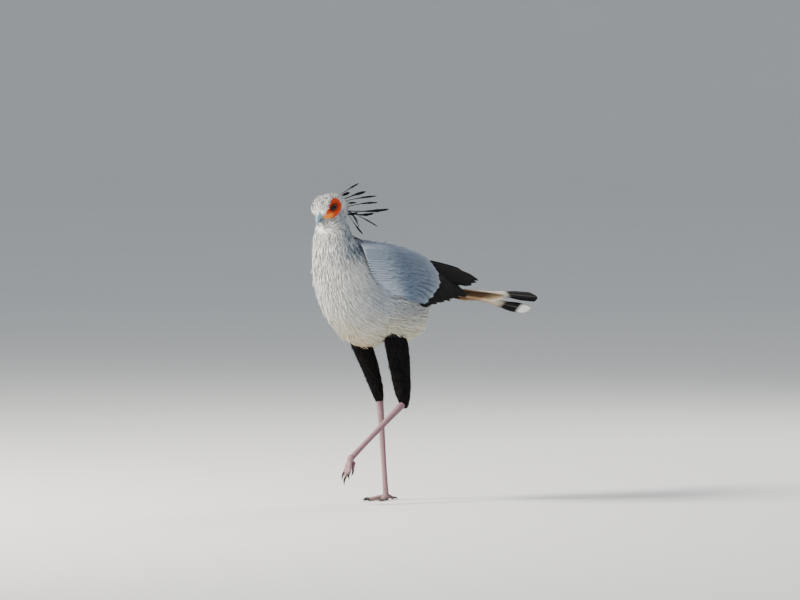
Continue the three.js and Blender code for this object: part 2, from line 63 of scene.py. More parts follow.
Array = np.ndarray
COLOURS = "Plumage"
BAKE_MAP = "OFBake"
VANE_MAP = "Vane"
SIDES = {"left": 1, "right": -1}
Tint = Callable[[Array, Array, Array], Array]
AT_ONCE = 20000
FULL_TURN = 6.2832
SHAFT_TONE = (0.5, 0.47, 0.43, 1.0)
FLOOR_TONES = ((0.76, 0.77, 0.76, 1.0), (0.8, 0.8, 0.79, 1.0))
PATCH = 0.0015


class Slot(Enum):
    """The record's material slots."""

    WHITE = "white_feather"
    GREY = "grey_feather"
    BLACK = "black_feather"
    TAIL = "tail_feather"
    FACE = "face_skin"
    CERE = "cere"
    BILL = "bill"
    EYE = "eye"
    LEG = "leg_skin"
    CLAW = "claw"


# Geometry helpers


def unit(vectors: Array) -> Array:
    """Vectors scaled to length 1."""
    return vectors / np.maximum(np.linalg.norm(vectors, axis=-1, keepdims=True), 1e-9)


def turn(axis: int, degrees: float) -> Array:
    """The matrix of a turn about a coordinate axis.

    Args:
        axis: 0, 1 or 2.
        degrees: the angle, right-handed.

    Returns:
        A 3 x 3 matrix.
    """
    c, s = math.cos(math.radians(degrees)), math.sin(math.radians(degrees))
    first, second = (axis + 1) % 3, (axis + 2) % 3
    matrix = np.eye(3)
    matrix[first, first] = matrix[second, second] = c
    matrix[first, second], matrix[second, first] = -s, s
    return matrix


def ramp(value: Array, low: float, high: float) -> Array:
    """A smooth step from 0 at low to 1 at high."""
    share = np.clip((value - low) / (high - low), 0.0, 1.0)
    return share * share * (3.0 - 2.0 * share)


def circle(count: int) -> Array:
    """Angles spaced evenly round a circle."""
    return np.arange(count) / count * 2 * math.pi


def globe(rows: int, sides: int, inset: float) -> Array:
    """Rings of a ball of radius 1 about the z axis: (sin p cos a, sin p sin a, cos p).

    Args:
        rows: how many rings.
        sides: points on each ring.
        inset: the angle p of the first ring, which is also the last one's from the other pole.

    Returns:
        (rows, sides, 3) places.
    """
    polar, angle = np.linspace(inset, math.pi - inset, rows)[:, None], circle(sides)
    out = np.sin(polar)
    return np.stack([out * np.cos(angle), out * np.sin(angle), np.cos(polar) + 0 * angle], -1)


def ring_faces(rows: int, around: int, closed: bool = False) -> Array:
    """Faces between rings of points: (i, j), (i, j + 1), (i + 1, j + 1), (i + 1, j).

    Args:
        rows: how many rings.
        around: points on each ring.
        closed: whether the last ring joins the first.

    Returns:
        (n, 4) corner numbers.
    """
    i, j = np.meshgrid(np.arange(rows if closed else rows - 1), np.arange(around), indexing="ij")
    n, k = (i + 1) % rows, (j + 1) % around
    return np.stack([i * around + j, i * around + k, n * around + k, n * around + j], -1).reshape(-1, 4)


class Spline:
    """A cubic curve through rows of numbers, one unit of t from row to row, sloped by the neighbours."""

    def __init__(self, rows: Sequence[Sequence[float]]) -> None:
        """Keeps the rows."""
        self.rows = np.asarray(rows, float)
        self.last = len(self.rows) - 1

    def __call__(self, t: Array) -> Array:
        """The rows at places t: b + (slope f + bend f^2 + twist f^3) / 2 between rows b and c.

        Args:
            t: places along the curve.

        Returns:
            One row for each place.
        """
        t = np.asarray(t, float)
        i = np.clip(np.floor(t).astype(int), 0, self.last - 1)
        f = (t - i)[..., None]
        a, b = self.rows[np.maximum(i - 1, 0)], self.rows[i]
        c, d = self.rows[i + 1], self.rows[np.minimum(i + 2, self.last)]
        bend, twist = 2 * a - 5 * b + 4 * c - d, 3 * b - a - 3 * c + d
        return b + 0.5 * ((c - a) * f + bend * f**2 + twist * f**3)


class Surface:
    """Points with faces of three or four corners, as they are gathered for a mesh."""

    def __init__(self) -> None:
        """Starts empty."""
        self.points: list[Array] = []
        self.quads: list[Array] = []
        self.triangles: list[Array] = []
        self.count = 0

    def add(self, points: Array, quads: Array | None = None, triangles: Array | None = None) -> None:
        """Adds points and the faces on them.

        Args:
            points: (n, 3) places.
            quads: (m, 4) corner numbers, counted within these points.
            triangles: (k, 3) corner numbers, counted within these points.
        """
        if quads is not None and len(quads):
            self.quads.append(quads + self.count)
        if triangles is not None and len(triangles):
            self.triangles.append(triangles + self.count)
        self.points.append(points)
        self.count += len(points)

    def shell(self, points: Array, quads: Array, triangles: Array | None = None) -> None:
        """Adds a closed form with its faces turned outwards, by the sign of the volume inside them.

        Args:
            points: (n, 3) places.
            quads: (m, 4) corner numbers.
            triangles: (k, 3) corner numbers.
        """
        halves = [quads[:, :3], quads[:, [0, 2, 3]]] + ([] if triangles is None else [triangles])
        a, b, c = (points - points.mean(0))[np.concatenate(halves)].transpose(1, 0, 2)
        if (a * np.cross(b, c)).sum() < 0:
            quads = quads[:, [0, 3, 2, 1]]
            triangles = None if triangles is None else triangles[:, [0, 2, 1]]
        self.add(points, quads, triangles)

    def tube(self, rings: Array) -> None:
        """Adds a closed tube through rings, capped by fans about the middle of each end.

        Args:
            rings: (rings, around, 3) places.
        """
        stations, around = rings.shape[:2]
        points = np.concatenate([rings.reshape(-1, 3), rings[0].mean(0)[None], rings[-1].mean(0)[None]])
        j = np.arange(around)
        k, end, middle = (j + 1) % around, (stations - 1) * around, np.full(around, stations * around)
        caps = np.concatenate([np.stack([middle, k, j], -1), np.stack([middle + 1, end + j, end + k], -1)])
        self.shell(points, ring_faces(stations, around), caps)

    def mesh(self, name: str) -> bpy.types.Mesh:
        """A mesh of what was gathered, smooth shaded.

        Args:
            name: the mesh's name.

        Returns:
            The mesh, in metres.
        """
        quads = np.concatenate(self.quads) if self.quads else np.zeros((0, 4), int)
        triangles = np.concatenate(self.triangles) if self.triangles else np.zeros((0, 3), int)
        points = np.concatenate(self.points) * MM
        loops = np.concatenate([quads.ravel(), triangles.ravel()]).astype(np.int32)
        starts = np.concatenate([np.arange(len(quads)) * 4, 4 * len(quads) + np.arange(len(triangles)) * 3])
        mesh = bpy.data.meshes.new(name)
        mesh.vertices.add(len(points))
        mesh.vertices.foreach_set("co", points.astype(np.float32).ravel())
        mesh.loops.add(len(loops))
        mesh.loops.foreach_set("vertex_index", loops)
        mesh.polygons.add(len(starts))
        mesh.polygons.foreach_set("loop_start", starts.astype(np.int32))
        mesh.polygons.foreach_set("use_smooth", np.ones(len(starts), bool))
        mesh.update(calc_edges=True)
        return mesh


def loop_corners(mesh: bpy.types.Mesh) -> Array:
    """The vertex of each loop of a mesh.

    Args:
        mesh: the mesh.

    Returns:
        One vertex number for each loop.
    """
    corners = np.zeros(len(mesh.loops), np.int32)
    mesh.loops.foreach_get("vertex_index", corners)
    return corners


def set_colours(mesh: bpy.types.Mesh, colours: Array) -> None:
    """Stores a colour for each vertex.

    Args:
        mesh: the mesh.
        colours: (vertices, 3) linear colours, or one for all.
    """
    full = np.ones((len(mesh.vertices), 4))
    full[:, :3] = colours
    layer = mesh.attributes.new(COLOURS, "FLOAT_COLOR", "POINT")
    layer.data.foreach_set("color", full.astype(np.float32).ravel())


def set_uv(mesh: bpy.types.Mesh, name: str, uv: Array) -> None:
    """Stores a UV map given for each vertex."""
    layer = mesh.uv_layers.new(name=name)
    layer.data.foreach_set("uv", uv[loop_corners(mesh)].astype(np.float32).ravel())


def add_object(mesh: bpy.types.Mesh, material: bpy.types.Material, slot: Slot, *nodes: str) -> None:
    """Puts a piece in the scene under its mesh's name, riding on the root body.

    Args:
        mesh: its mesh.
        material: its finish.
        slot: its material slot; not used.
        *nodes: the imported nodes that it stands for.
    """
    obj = bpy.data.objects.new(mesh.name, mesh)
    bpy.context.scene.collection.objects.link(obj)
    mesh.materials.clear()
    mesh.materials.append(material)
    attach(obj, "root")
    if nodes:
        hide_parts(*nodes)
    LOG.info("%s: %d faces", mesh.name, len(mesh.polygons))


# Shader helpers


class Wire:
    """A socket of a shader graph that can be used in sums."""

    def __init__(self, graph: "Graph", socket: bpy.types.NodeSocket) -> None:
        """Keeps the socket and its graph."""
        self.graph = graph
        self.socket = socket

    def _math(self, kind: str, *others: "Wire | float") -> "Wire":
        """A Math node of this value and others."""
        return self.graph.math(kind, self, *others)

    def __add__(self, other: "Wire | float") -> "Wire":
        """The sum."""
        return self._math("ADD", other)

    def __radd__(self, other: float) -> "Wire":
        """The sum."""
        return self._math("ADD", other)

    def __sub__(self, other: "Wire | float") -> "Wire":
        """The difference."""
        return self._math("SUBTRACT", other)

    def __rsub__(self, other: float) -> "Wire":
        """The difference from a number."""
        return self.graph.math("SUBTRACT", other, self)

    def __mul__(self, other: "Wire | float") -> "Wire":
        """The product."""
        return self._math("MULTIPLY", other)

    def __rmul__(self, other: float) -> "Wire":
        """The product."""
        return self._math("MULTIPLY", other)


class Graph:
    """The node graph of one material, with a Principled shader at its end."""

    def __init__(self, name: str) -> None:
        """Makes the material and its nodes."""
        self.material = bpy.data.materials.new(name)
        self.material.use_nodes = True
        self.tree = self.material.node_tree
        self.shader = self.tree.nodes["Principled BSDF"]

    def node(self, kind: str, inputs: dict | None = None, **settings: object) -> bpy.types.Node:
        """Adds a node.

        Args:
            kind: the node's type name.
            inputs: values or wires for its inputs, by name or number.
            **settings: properties of the node.

        Returns:
            The node.
        """
        made = self.tree.nodes.new(kind)
        for key, value in settings.items():
            setattr(made, key, value)
        for key, value in (inputs or {}).items():
            self.put(made.inputs[key], value)
        return made

    def put(self, socket: bpy.types.NodeSocket, value: object) -> None:
        """Gives an input its value, or links a wire to it.

        Args:
            socket: the input.
            value: a Wire or a constant.
        """
        if isinstance(value, Wire):
            self.tree.links.new(value.socket, socket)
        else:
            socket.default_value = value

    def math(self, kind: str, *values: "Wire | float") -> Wire:
        """A Math node."""
        made = self.node("ShaderNodeMath", dict(enumerate(values)), operation=kind)
        return Wire(self, made.outputs[0])

    def mix(self, share: "Wire | float", first: object, second: object, kind: str = "MIX") -> Wire:
        """A mix of two colours.

        Args:
            share: how much of the second.
            first: a wire or an RGBA colour.
            second: a wire or an RGBA colour.
            kind: the way they are blended.

        Returns:
            The mixed colour.
        """
        made = self.node("ShaderNodeMix", data_type="RGBA", blend_type=kind)
        for socket, value in ((0, share), (6, first), (7, second)):
            self.put(made.inputs[socket], value)
        return Wire(self, made.outputs[2])

    def step(self, value: Wire, low: float, high: float) -> Wire:
        """A smooth step of a value from 0 at low to 1 at high."""
        made = self.node("ShaderNodeMapRange", {0: value, 1: low, 2: high}, interpolation_type="SMOOTHSTEP")
        return Wire(self, made.outputs[0])

    def tinted(self, shade: Wire) -> Wire:
        """The mesh's own colours times a shade.

        Args:
            shade: the factor.

        Returns:
            The colours.
        """
        own = Wire(self, self.node("ShaderNodeAttribute", attribute_name=COLOURS).outputs["Color"])
        grey = self.node("ShaderNodeCombineColor", {0: shade, 1: shade, 2: shade})
        return self.mix(1.0, own, Wire(self, grey.outputs[0]), "MULTIPLY")

    def place(self, scale: Sequence[float] = (1, 1, 1)) -> Wire:
        """Object coordinates, scaled.

        Args:
            scale: the factor on each axis.

        Returns:
            The coordinates.
        """
        source = self.node("ShaderNodeTexCoord").outputs["Object"]
        made = self.node("ShaderNodeMapping", {"Vector": Wire(self, source), "Scale": scale})
        return Wire(self, made.outputs[0])

    def noise(self, where: Wire, scale: float, detail: float = 3.0, rough: float = 0.5) -> Wire:
        """A noise texture's value.

        Args:
            where: its coordinates.
            scale: its scale.
            detail: its detail.
            rough: its roughness.

        Returns:
            The value.
        """
        made = self.node(
            "ShaderNodeTexNoise", {"Vector": where, "Scale": scale, "Detail": detail, "Roughness": rough}
        )
        return Wire(self, made.outputs[0])

    def uv(self, name: str) -> tuple[Wire, Wire]:
        """The two coordinates of a UV map.

        Args:
            name: the map's name.

        Returns:
            Its u and its v.
        """
        source = self.node("ShaderNodeUVMap", uv_map=name).outputs[0]
        made = self.node("ShaderNodeSeparateXYZ", {0: Wire(self, source)})
        return Wire(self, made.outputs[0]), Wire(self, made.outputs[1])

    def finish(
        self,
        colour: object,
        rough: "Wire | float",
        bump: Wire | None = None,
        depth: float = 0.0,
        **fixed: float,
    ) -> bpy.types.Material:
        """Connects the shader.

        Args:
            colour: the base colour, a wire or an RGBA value.
            rough: the roughness.
            bump: a height, where there is one.
            depth: the bump's distance in metres.
            **fixed: constants for other inputs, with _ for spaces.

        Returns:
            The material.
        """
        self.put(self.shader.inputs["Base Color"], colour)
        self.put(self.shader.inputs["Roughness"], rough)
        for key, value in fixed.items():
            self.shader.inputs[key.replace("_", " ")].default_value = value
        if bump is not None:
            made = self.node("ShaderNodeBump", {"Height": bump, "Distance": depth})
            self.tree.links.new(made.outputs[0], self.shader.inputs["Normal"])
        return self.material


# Finishes


@dataclass(frozen=True)
class PlumeFinish:
    """Feathers: the mesh's own colour, with barbs across the vane and a mottle over the body."""

    name: str
    rough: float = 0.85
    mottle: float = 0.1
    barbs: float = 0.12
    shaft: float = 0.0
    sheen: float = 0.2
    gloss: float = 0.2
    barb_count: float = 60.0
    barb_lean: float = 14.0
    mottle_scale: float = 160.0
    depth: float = 0.0004

    def make(self) -> bpy.types.Material:
        """Builds the material and returns it."""
        graph = Graph(self.name)
        side, along = graph.uv(VANE_MAP)
        lean = along * self.barb_count + graph.math("ABSOLUTE", side) * self.barb_lean
        barb = graph.math("SINE", lean * FULL_TURN) * 0.5 + 0.5
        spots = graph.noise(graph.place(), self.mottle_scale, 4.0, 0.6)
        shade = (spots - 0.5) * (2.0 * self.mottle) + (barb - 0.5) * self.barbs + 1.0
        colour = graph.tinted(shade)
        if self.shaft:
            line = 1.0 - graph.step(graph.math("ABSOLUTE", side), 0.02, 0.09)
            colour = graph.mix(line * self.shaft, colour, SHAFT_TONE)
        relief = barb * 0.6 + spots
        constants = {"Sheen_Weight": self.sheen, "Specular_IOR_Level": self.gloss}
        return graph.finish(colour, self.rough, relief, self.depth, **constants)


@dataclass(frozen=True)
class SkinFinish:
    """Bare or hidden skin in the mesh's own colour, wrinkled."""

    name: str
    wrinkle: float = 900.0
    depth: float = 0.0006
    rough: float = 0.6
    coat: float = 0.0
    variation: float = 0.3

    def make(self) -> bpy.types.Material:
        """Builds the material and returns it."""
        graph = Graph(self.name)
        fine = graph.noise(graph.place(), self.wrinkle, 5.0, 0.6)
        cells = graph.node(
            "ShaderNodeTexVoronoi", {"Vector": graph.place(), "Scale": self.wrinkle * 0.6}, feature="F1"
        )
        cell = Wire(graph, cells.outputs[0])
        shade = (fine - 0.5) * self.variation + (0.5 - cell) * (0.5 * self.variation) + 1.0
        colour = graph.tinted(shade)
        return graph.finish(
            colour,
            self.rough + (fine - 0.5) * 0.2,
            fine - cell * 0.6,
            self.depth,
            Coat_Weight=self.coat,
            Specular_IOR_Level=0.2,
        )


@dataclass(frozen=True)
class HornFinish:
    """Horn of the bill, cere and claws: the mesh's own colour with growth lines."""

    name: str
    rough: float = 0.32
    coat: float = 0.3
    lines: float = 700.0

    def make(self) -> bpy.types.Material:
        """Builds the material and returns it."""
        graph = Graph(self.name)
        grain = graph.noise(graph.place((1.0, 1.0, 0.25)), self.lines, 4.0, 0.55)
        cloud = graph.noise(graph.place(), 120.0, 2.0)
        shade = (grain - 0.5) * 0.2 + (cloud - 0.5) * 0.25 + 1.0
        colour = graph.tinted(shade)
        return graph.finish(colour, self.rough + (cloud - 0.5) * 0.2, grain, 0.0002, Coat_Weight=self.coat)


@dataclass(frozen=True)
class EyeFinish:
    """A wet eyeball in the mesh's own colour."""

    name: str

    def make(self) -> bpy.types.Material:
        """Builds the material and returns it."""
        graph = Graph(self.name)
        fibre = graph.noise(graph.place(), 1500.0, 2.0)
        colour = graph.tinted(fibre * 0.5 + 0.75)
        return graph.finish(
            colour, fibre * 0.05 + 0.12, Specular_IOR_Level=0.12, Coat_Weight=0.08, Coat_Roughness=0.03
        )


@dataclass(frozen=True)
class FloorFinish:
    """A plain pale floor."""

    name: str

    def make(self) -> bpy.types.Material:
        """Builds the material and returns it."""
        graph = Graph(self.name)
        cloud = graph.noise(graph.place(), 0.8, 2.0)
        return graph.finish(graph.mix(cloud, *FLOOR_TONES), 0.9)


# The body's own shape


class Outline:
    """A form given by rows: back line (y, z), belly line (y, z) and half width, in a place of its own."""

    def __init__(
        self, rows: Sequence[Sequence[float]], centre: Sequence[float] = (0, 0, 0), tilt: Array = np.eye(3)
    ) -> None:
        """Keeps the rows, and the place and turn of the form."""
        self.curve = Spline(rows)
        self.last = self.curve.last
        self.centre, self.matrix = np.array(centre, float), tilt

    def rings(self, places: Array, sides: int, swell: Array | float = 0.0) -> Array:
        """Rings about the form: middle + reach cos(a) + left (half width + swell) sin(a).

        Args:
            places: where the rings are.
            sides: points on each ring.
            swell: how far the rings lie outside the form.

        Returns:
            (rings, sides, 3) places.
        """
        rows = self.curve(places)
        zero = np.zeros(len(rows))
        back = np.stack([zero, rows[:, 0], rows[:, 1]], -1)
        front = np.stack([zero, rows[:, 2], rows[:, 3]], -1)
        reach = 0.5 * (back - front)
        size = np.linalg.norm(reach, axis=1, keepdims=True)
        swell = np.broadcast_to(swell, (len(rows),))[:, None]
        reach = reach / size * (size + swell)
        angle = circle(sides)
        points = (
            0.5 * (back + front)[:, None]
            + reach[:, None] * np.cos(angle)[None, :, None]
            + LEFT * ((rows[:, 4:5] + swell) * np.sin(angle))[..., None]
        )
        return points @ self.matrix.T + self.centre


def limb_rings(
    path: Array,
    radii: Sequence[Sequence[float]],
    rings: int,
    sides: int,
    swell: float = 0.0,
    side: Array = LEFT,
) -> Array:
    """Rings along a limb through path points, with radii across and deep.

    Args:
        path: (n, 3) points of the limb's axis.
        radii: pairs of radii, spread evenly over the path.
        rings: how many rings.
        sides: points on each ring.
        swell: how far outside the limb they lie.
        side: the direction that the first radius is measured along.

    Returns:
        (rings, sides, 3) places.
    """
    line, sizes = Spline(path), Spline(radii)
    t = np.linspace(0, line.last, rings)
    ahead = unit(line(np.minimum(t + 0.05, line.last)) - line(np.maximum(t - 0.05, 0)))
    across = unit(side - ahead * (ahead @ side)[:, None])
    deep = np.cross(ahead, across)
    wide, thick = (sizes(t * sizes.last / line.last) + swell).T
    angle = circle(sides)
    return (
        line(t)[:, None]
        + across[:, None] * (wide[:, None] * np.cos(angle))[..., None]
        + deep[:, None] * (thick[:, None] * np.sin(angle))[..., None]
    )


@dataclass(frozen=True)
class HeadPlace:
    """Where the head is and how it is turned. In its own frame the bill points along -y."""

    centre: tuple[float, float, float] = (0.0, -268.0, 968.0)
    yaw: float = 4.0
    pitch: float = 28.0

    @property
    def matrix(self) -> Array:
        """The head's turn."""
        return turn(2, self.yaw) @ turn(0, self.pitch)

    def out(self, points: Array) -> Array:
        """Points of the head's frame in the bird's frame."""
        return np.asarray(points, float) @ self.matrix.T + np.array(self.centre)

    def into(self, points: Array) -> Array:
        """Points of the bird's frame in the head's frame."""
        return (points - np.array(self.centre)) @ self.matrix


HEAD = HeadPlace()
BODY_ROWS = (
    (226, 718, 206, 672, 26),
    (190, 766, 166, 622, 66),
    (120, 818, 82, 558, 94),
    (40, 844, -20, 526, 104),
    (-50, 856, -110, 512, 110),
    (-118, 866, -198, 556, 112),
    (-158, 878, -258, 646, 108),
    (-182, 890, -286, 735, 86),
    (-194, 911, -297, 815, 72),
    (-195, 940, -305, 868, 57),
    (-189, 972, -291, 932, 47),
)
HEAD_ROWS = (
    (82, -22, 78, -40, 14),
    (70, 14, 60, -52, 34),
    (42, 40, 36, -54, 43),
    (8, 49, 6, -46, 45),
    (-16, 47, -14, -36, 43),
    (-31, 38, -27, -27, 36),
    (-40, 26, -35, -20, 25),
)
FLANK_PATH = ((60, -90, 610), (62, -30, 594), (58, 40, 590), (50, 90, 612), (44, 124, 650))
FLANK_RADII = ((26, 30), (46, 58), (50, 60), (38, 46), (16, 18))
BODY = Outline(BODY_ROWS)
HEAD_FORM = Outline(HEAD_ROWS, HEAD.centre, HEAD.matrix)
EYE = np.array([36.6, -9.0, 9.0])
EYE_RADIUS = 11.5


def mirrored(points: Array, side: int) -> Array:
    """Points on the left side, or their mirror images."""
    return np.asarray(points, float) * np.array([side, 1, 1])


def remeshed(surface: Surface, name: str, voxel: float, rounds: int) -> bpy.types.Mesh:
    """One skin over closed forms that cross each other, smoothed.

    Args:
        surface: the forms.
        name: the mesh's name.
        voxel: the size of the skin's faces.
        rounds: how often it is smoothed.

    Returns:
        The skin's mesh, without any seam.
    """
    obj = bpy.data.objects.new(name, surface.mesh(name + "_forms"))
    bpy.context.scene.collection.objects.link(obj)
    remesh = obj.modifiers.new("skin", "REMESH")
    remesh.mode = "VOXEL"
    remesh.voxel_size = voxel * MM
    remesh.use_smooth_shade = True
    smooth = obj.modifiers.new("smooth", "SMOOTH")
    smooth.iterations = rounds
    smooth.factor = 0.6
    depsgraph = bpy.context.evaluated_depsgraph_get()
    mesh = bpy.data.meshes.new_from_object(obj.evaluated_get(depsgraph))
    mesh.name = name
    forms = obj.data
    bpy.data.objects.remove(obj)
    bpy.data.meshes.remove(forms)
    return mesh


def read_vectors(items: bpy.types.bpy_prop_collection, name: str) -> Array:
    """One vector of each item of a mesh.

    Args:
        items: the items.
        name: the vector's name.

    Returns:
        (items, 3) numbers.
    """
    flat = np.zeros(len(items) * 3, np.float32)
    items.foreach_get(name, flat)
    return flat.reshape(-1, 3).astype(float)


def mesh_points(mesh: bpy.types.Mesh) -> Array:
    """A mesh's points in millimetres."""
    return read_vectors(mesh.vertices, "co") / MM


def mesh_normals(mesh: bpy.types.Mesh) -> Array:
    """A mesh's vertex normals."""
    return read_vectors(mesh.vertex_normals, "vector")


def move_points(mesh: bpy.types.Mesh, points: Array) -> None:
    """Puts a mesh's points elsewhere."""
    mesh.vertices.foreach_set("co", (points * MM).astype(np.float32).ravel())
    mesh.update()


class BodyLine:
    """The line through the middle of the body, from the rump to the head, which places are read along."""

    def __init__(self) -> None:
        """Works out the line's points and directions."""
        self.t = np.linspace(0, BODY.last, 401)
        rows = BODY.curve(self.t)
        self.middle = 0.5 * (rows[:, 0:2] + rows[:, 2:4])
        self.tangent = unit(np.gradient(self.middle, axis=0))

    def nearest(self, points: Array) -> Array:
        """The number of the line's point that is nearest to each place, seen from the side."""
        parts = np.array_split(points[:, None, 1:], 1 + len(points) // AT_ONCE)
        return np.concatenate([((part - self.middle) ** 2).sum(-1).argmin(1) for part in parts])

    def places(self, points: Array) -> Array:
        """How far along the body each place is, in rows of its outline."""
        return self.t[self.nearest(points)]

    def unwrap(self, points: Array) -> Array:
        """Places on an unwrap of the body: along it, and the angle about its line.

        Args:
            points: (n, 3) places.

        Returns:
            (n, 2) places from 0 to 1.
        """
        near = self.nearest(points)
        offset = points[:, 1:] - self.middle[near]
        tangent = self.tangent[near]
        rise = offset[:, 1] * tangent[:, 0] - offset[:, 0] * tangent[:, 1]
        angle = np.arctan2(points[:, 0], rise)
        beyond = (offset * tangent).sum(1) / 1000.0
        along = self.t[near] / self.t[-1] * 0.8 + 0.1 + np.clip(beyond, -0.09, 0.09)
        return np.stack([along, 0.5 + angle / (2 * math.pi) * 0.96], -1)


BODY_LINE = BodyLine()


# Markings and painted shade


WHITE = np.array([0.78, 0.78, 0.76])
CREAM = np.array([0.68, 0.60, 0.42])
SHADE = np.array([0.30, 0.37, 0.47])
SLATE = np.array([0.085, 0.125, 0.195])
INK = np.array([0.005, 0.005, 0.007])
ORANGE = np.array([0.56, 0.038, 0.003])
YELLOW = np.array([0.68, 0.23, 0.015])
RUST = np.array([0.50, 0.30, 0.12])
# Painted shade: the deep red of the hollow round each eye.
EYE_HOLLOW_SHADE = np.array([0.1, 0.008, 0.003])
SOOT = np.array([0.011, 0.009, 0.008])
FADED_BLACK = np.array([0.01, 0.009, 0.009])
LID = np.array([0.012, 0.006, 0.005])
PUPIL = np.array([0.003, 0.003, 0.003])
IRIS_INNER, IRIS_OUTER = np.array([0.02, 0.01, 0.006]), np.array([0.05, 0.026, 0.014])
EYE_RIM = np.array([0.02, 0.012, 0.01])
CERE_YELLOW, CERE_GREY = np.array([0.66, 0.5, 0.22]), np.array([0.4, 0.42, 0.38])
NOSTRIL = np.array([0.02, 0.015, 0.012])
BILL_BLUE, BILL_TIP, BILL_BASE = np.array([[0.2, 0.31, 0.4], [0.1, 0.13, 0.16], [0.5, 0.55, 0.54]])
TAIL_DARK, TAIL_BROWN = np.array([0.05, 0.04, 0.035]), np.array([0.25, 0.15, 0.08])
TAIL_BUFF, TAIL_PALE = np.array([0.56, 0.42, 0.26]), np.array([0.72, 0.66, 0.55])
TAIL_TAN, TAIL_WHITE = np.array([0.2, 0.12, 0.07]), np.array([0.82, 0.82, 0.8])
TAIL_NEAR, TAIL_FAR = np.array([0.5, 0.42, 0.33]), np.array([0.6, 0.55, 0.48])
LEG_MAUVE, LEG_PINK, LEG_GROOVE = np.array([[0.19, 0.095, 0.125], [0.33, 0.20, 0.22], [0.13, 0.07, 0.08]])
LEG_DUST, LEG_JOINT = np.array([0.25, 0.19, 0.15]), np.array([0.24, 0.145, 0.165])
CLAW_BLACK = np.array([0.02, 0.018, 0.018])


def blend(first: Array, second: Array, share: Array) -> Array:
    """A mix of colours for each point."""
    return first * (1.0 - share[:, None]) + second * share[:, None]


def waves(points: Array, length: float, seed: float) -> Array:
    """A smooth irregular pattern from -1 to 1, the mean of three crossed sine waves.

    Args:
        points: (n, 3) places.
        length: the length of a wave.
        seed: what sets one pattern apart from another.

    Returns:
        (n,) values.
    """
    k = 2 * math.pi / length
    first = np.sin(points @ np.array([0.8, 0.5, 0.33]) * k + seed)
    second = np.sin(points @ np.array([-0.4, 0.9, -0.5]) * k * 1.31 + 2.1 * seed)
    third = np.sin(points @ np.array([0.3, -0.45, 0.95]) * k * 1.73 + 3.7 * seed)
    return (first + second + third) / 3


def face_share(points: Array) -> Array:
    """How far each place is within the bare face, 1 inside and 0 outside.

    Args:
        points: (n, 3) places.

    Returns:
        (n,) shares.
    """
    local = HEAD.into(points)
    y = (local[:, 1] + 9.0) / 36.0
    z = (local[:, 2] - 4.0 - 0.25 * (local[:, 1] + 9.0)) / (29.0 * (1 + 0.2 * np.clip(y, -1, 1)))
    away = np.hypot(y, z) + 0.03 * waves(points, 9.0, 1.0)
    return ramp(away, 1.04, 0.94) * ramp(np.abs(local[:, 0]), 9.0, 13.0)


def plumage(points: Array) -> Array:
    """The colour of the skin and of the small feathers at each place on the body and head.

    Args:
        points: (n, 3) places.

    Returns:
        (n, 3) linear colours.
    """
    near = BODY_LINE.nearest(points)
    t = BODY_LINE.t[near]
    x, y, z = points.T
    aside = np.abs(x)
    low = ramp(z, 700, 560) * ramp(t, 7.4, 6.0)
    colour = blend(WHITE, CREAM, 0.95 * low * (0.7 + 0.3 * waves(points, 120, 2.0)))
    streak = 0.5 + 0.5 * waves(points * np.array([1.0, 1.0, 0.22]), 16.0, 5.0)
    # Blue-grey on the sides of the body and neck: partly the bird's own grey, partly painted shade of the
    # side turned away from the light.
    sides = ramp(y, -262, -140) * ramp(aside, 20, 60) * ramp(z, 560, 700)
    colour = blend(colour, SHADE, np.clip(sides * (0.55 + 0.45 * streak), 0, 1))
    nape = ramp(y, -292, -236) * ramp(t, 6.6, 7.8) * ramp(z, 1000, 930) * ramp(aside, 6, 22)
    colour = blend(colour, SHADE * 0.95, np.clip(nape * (0.35 + 0.65 * streak), 0, 1))
    colour = blend(colour, SLATE * 1.2, 0.95 * nape * ramp(streak, 0.55, 0.75))
    back = ramp(z, 800, 846) * ramp(y, -190, -130)
    colour = blend(colour, SLATE * 1.15, back)
    scapular = ramp(y, -215, -190) * ramp(y, -60, -130) * ramp(z, 866, 880) * ramp(streak, 0.3, 0.5)
    colour = blend(colour, INK, 0.9 * scapular)
    dorsal = ramp(z - BODY_LINE.middle[near, 1], 35, 75) * ramp(y, -110, -40)
    colour = blend(colour, SLATE, dorsal)
    colour = blend(colour, INK * 3, 0.8 * dorsal * ramp(t, 2.4, 1.4))
    stain = np.exp(-(((x + 20) / 60) ** 2 + ((y + 120) / 60) ** 2 + ((z - 545) / 38) ** 2))
    colour = blend(colour, RUST, 0.75 * stain)
    # Painted shade: blue-grey darkening under the rear of the body.
    vent = ramp(t, 1.2, 0.3) * ramp(z, 700, 640)
    colour = blend(colour, SHADE * 0.8, 0.6 * vent)
    local = HEAD.into(points)
    away = np.linalg.norm(local, axis=1)
    crown = ramp(local[:, 2], -4, 22) * ramp(away, 75, 60)
    flecks = ramp(waves(points, 7.0, 9.0), -0.05, 0.3)
    colour = blend(colour, SHADE * 0.25, 0.9 * crown * flecks)
    # Painted shade: the back of the head darkened to blue-grey.
    hind = ramp(local[:, 1], 40, 66) * ramp(away, 105, 85) * ramp(local[:, 2], -62, -30)
    colour = blend(colour, SHADE * 0.45, 0.7 * hind)
    face = face_share(points)
    gape = ramp(np.linalg.norm((local[:, 1:] - np.array([-34, -12])) * np.array([0.8, 1.2]), axis=1), 19, 6)
    skin = blend(ORANGE, YELLOW, np.clip(gape + 0.12 * waves(points, 12, 3), 0, 1))
    # Painted shade: the bare skin darkens to a deep red in the hollow round each eye.
    socket = np.hypot((local[:, 1] - EYE[1]) / 1.5, local[:, 2] - EYE[2])
    skin = blend(skin, EYE_HOLLOW_SHADE, 0.8 * ramp(socket, 17, 10))
    return blend(colour, skin, face)


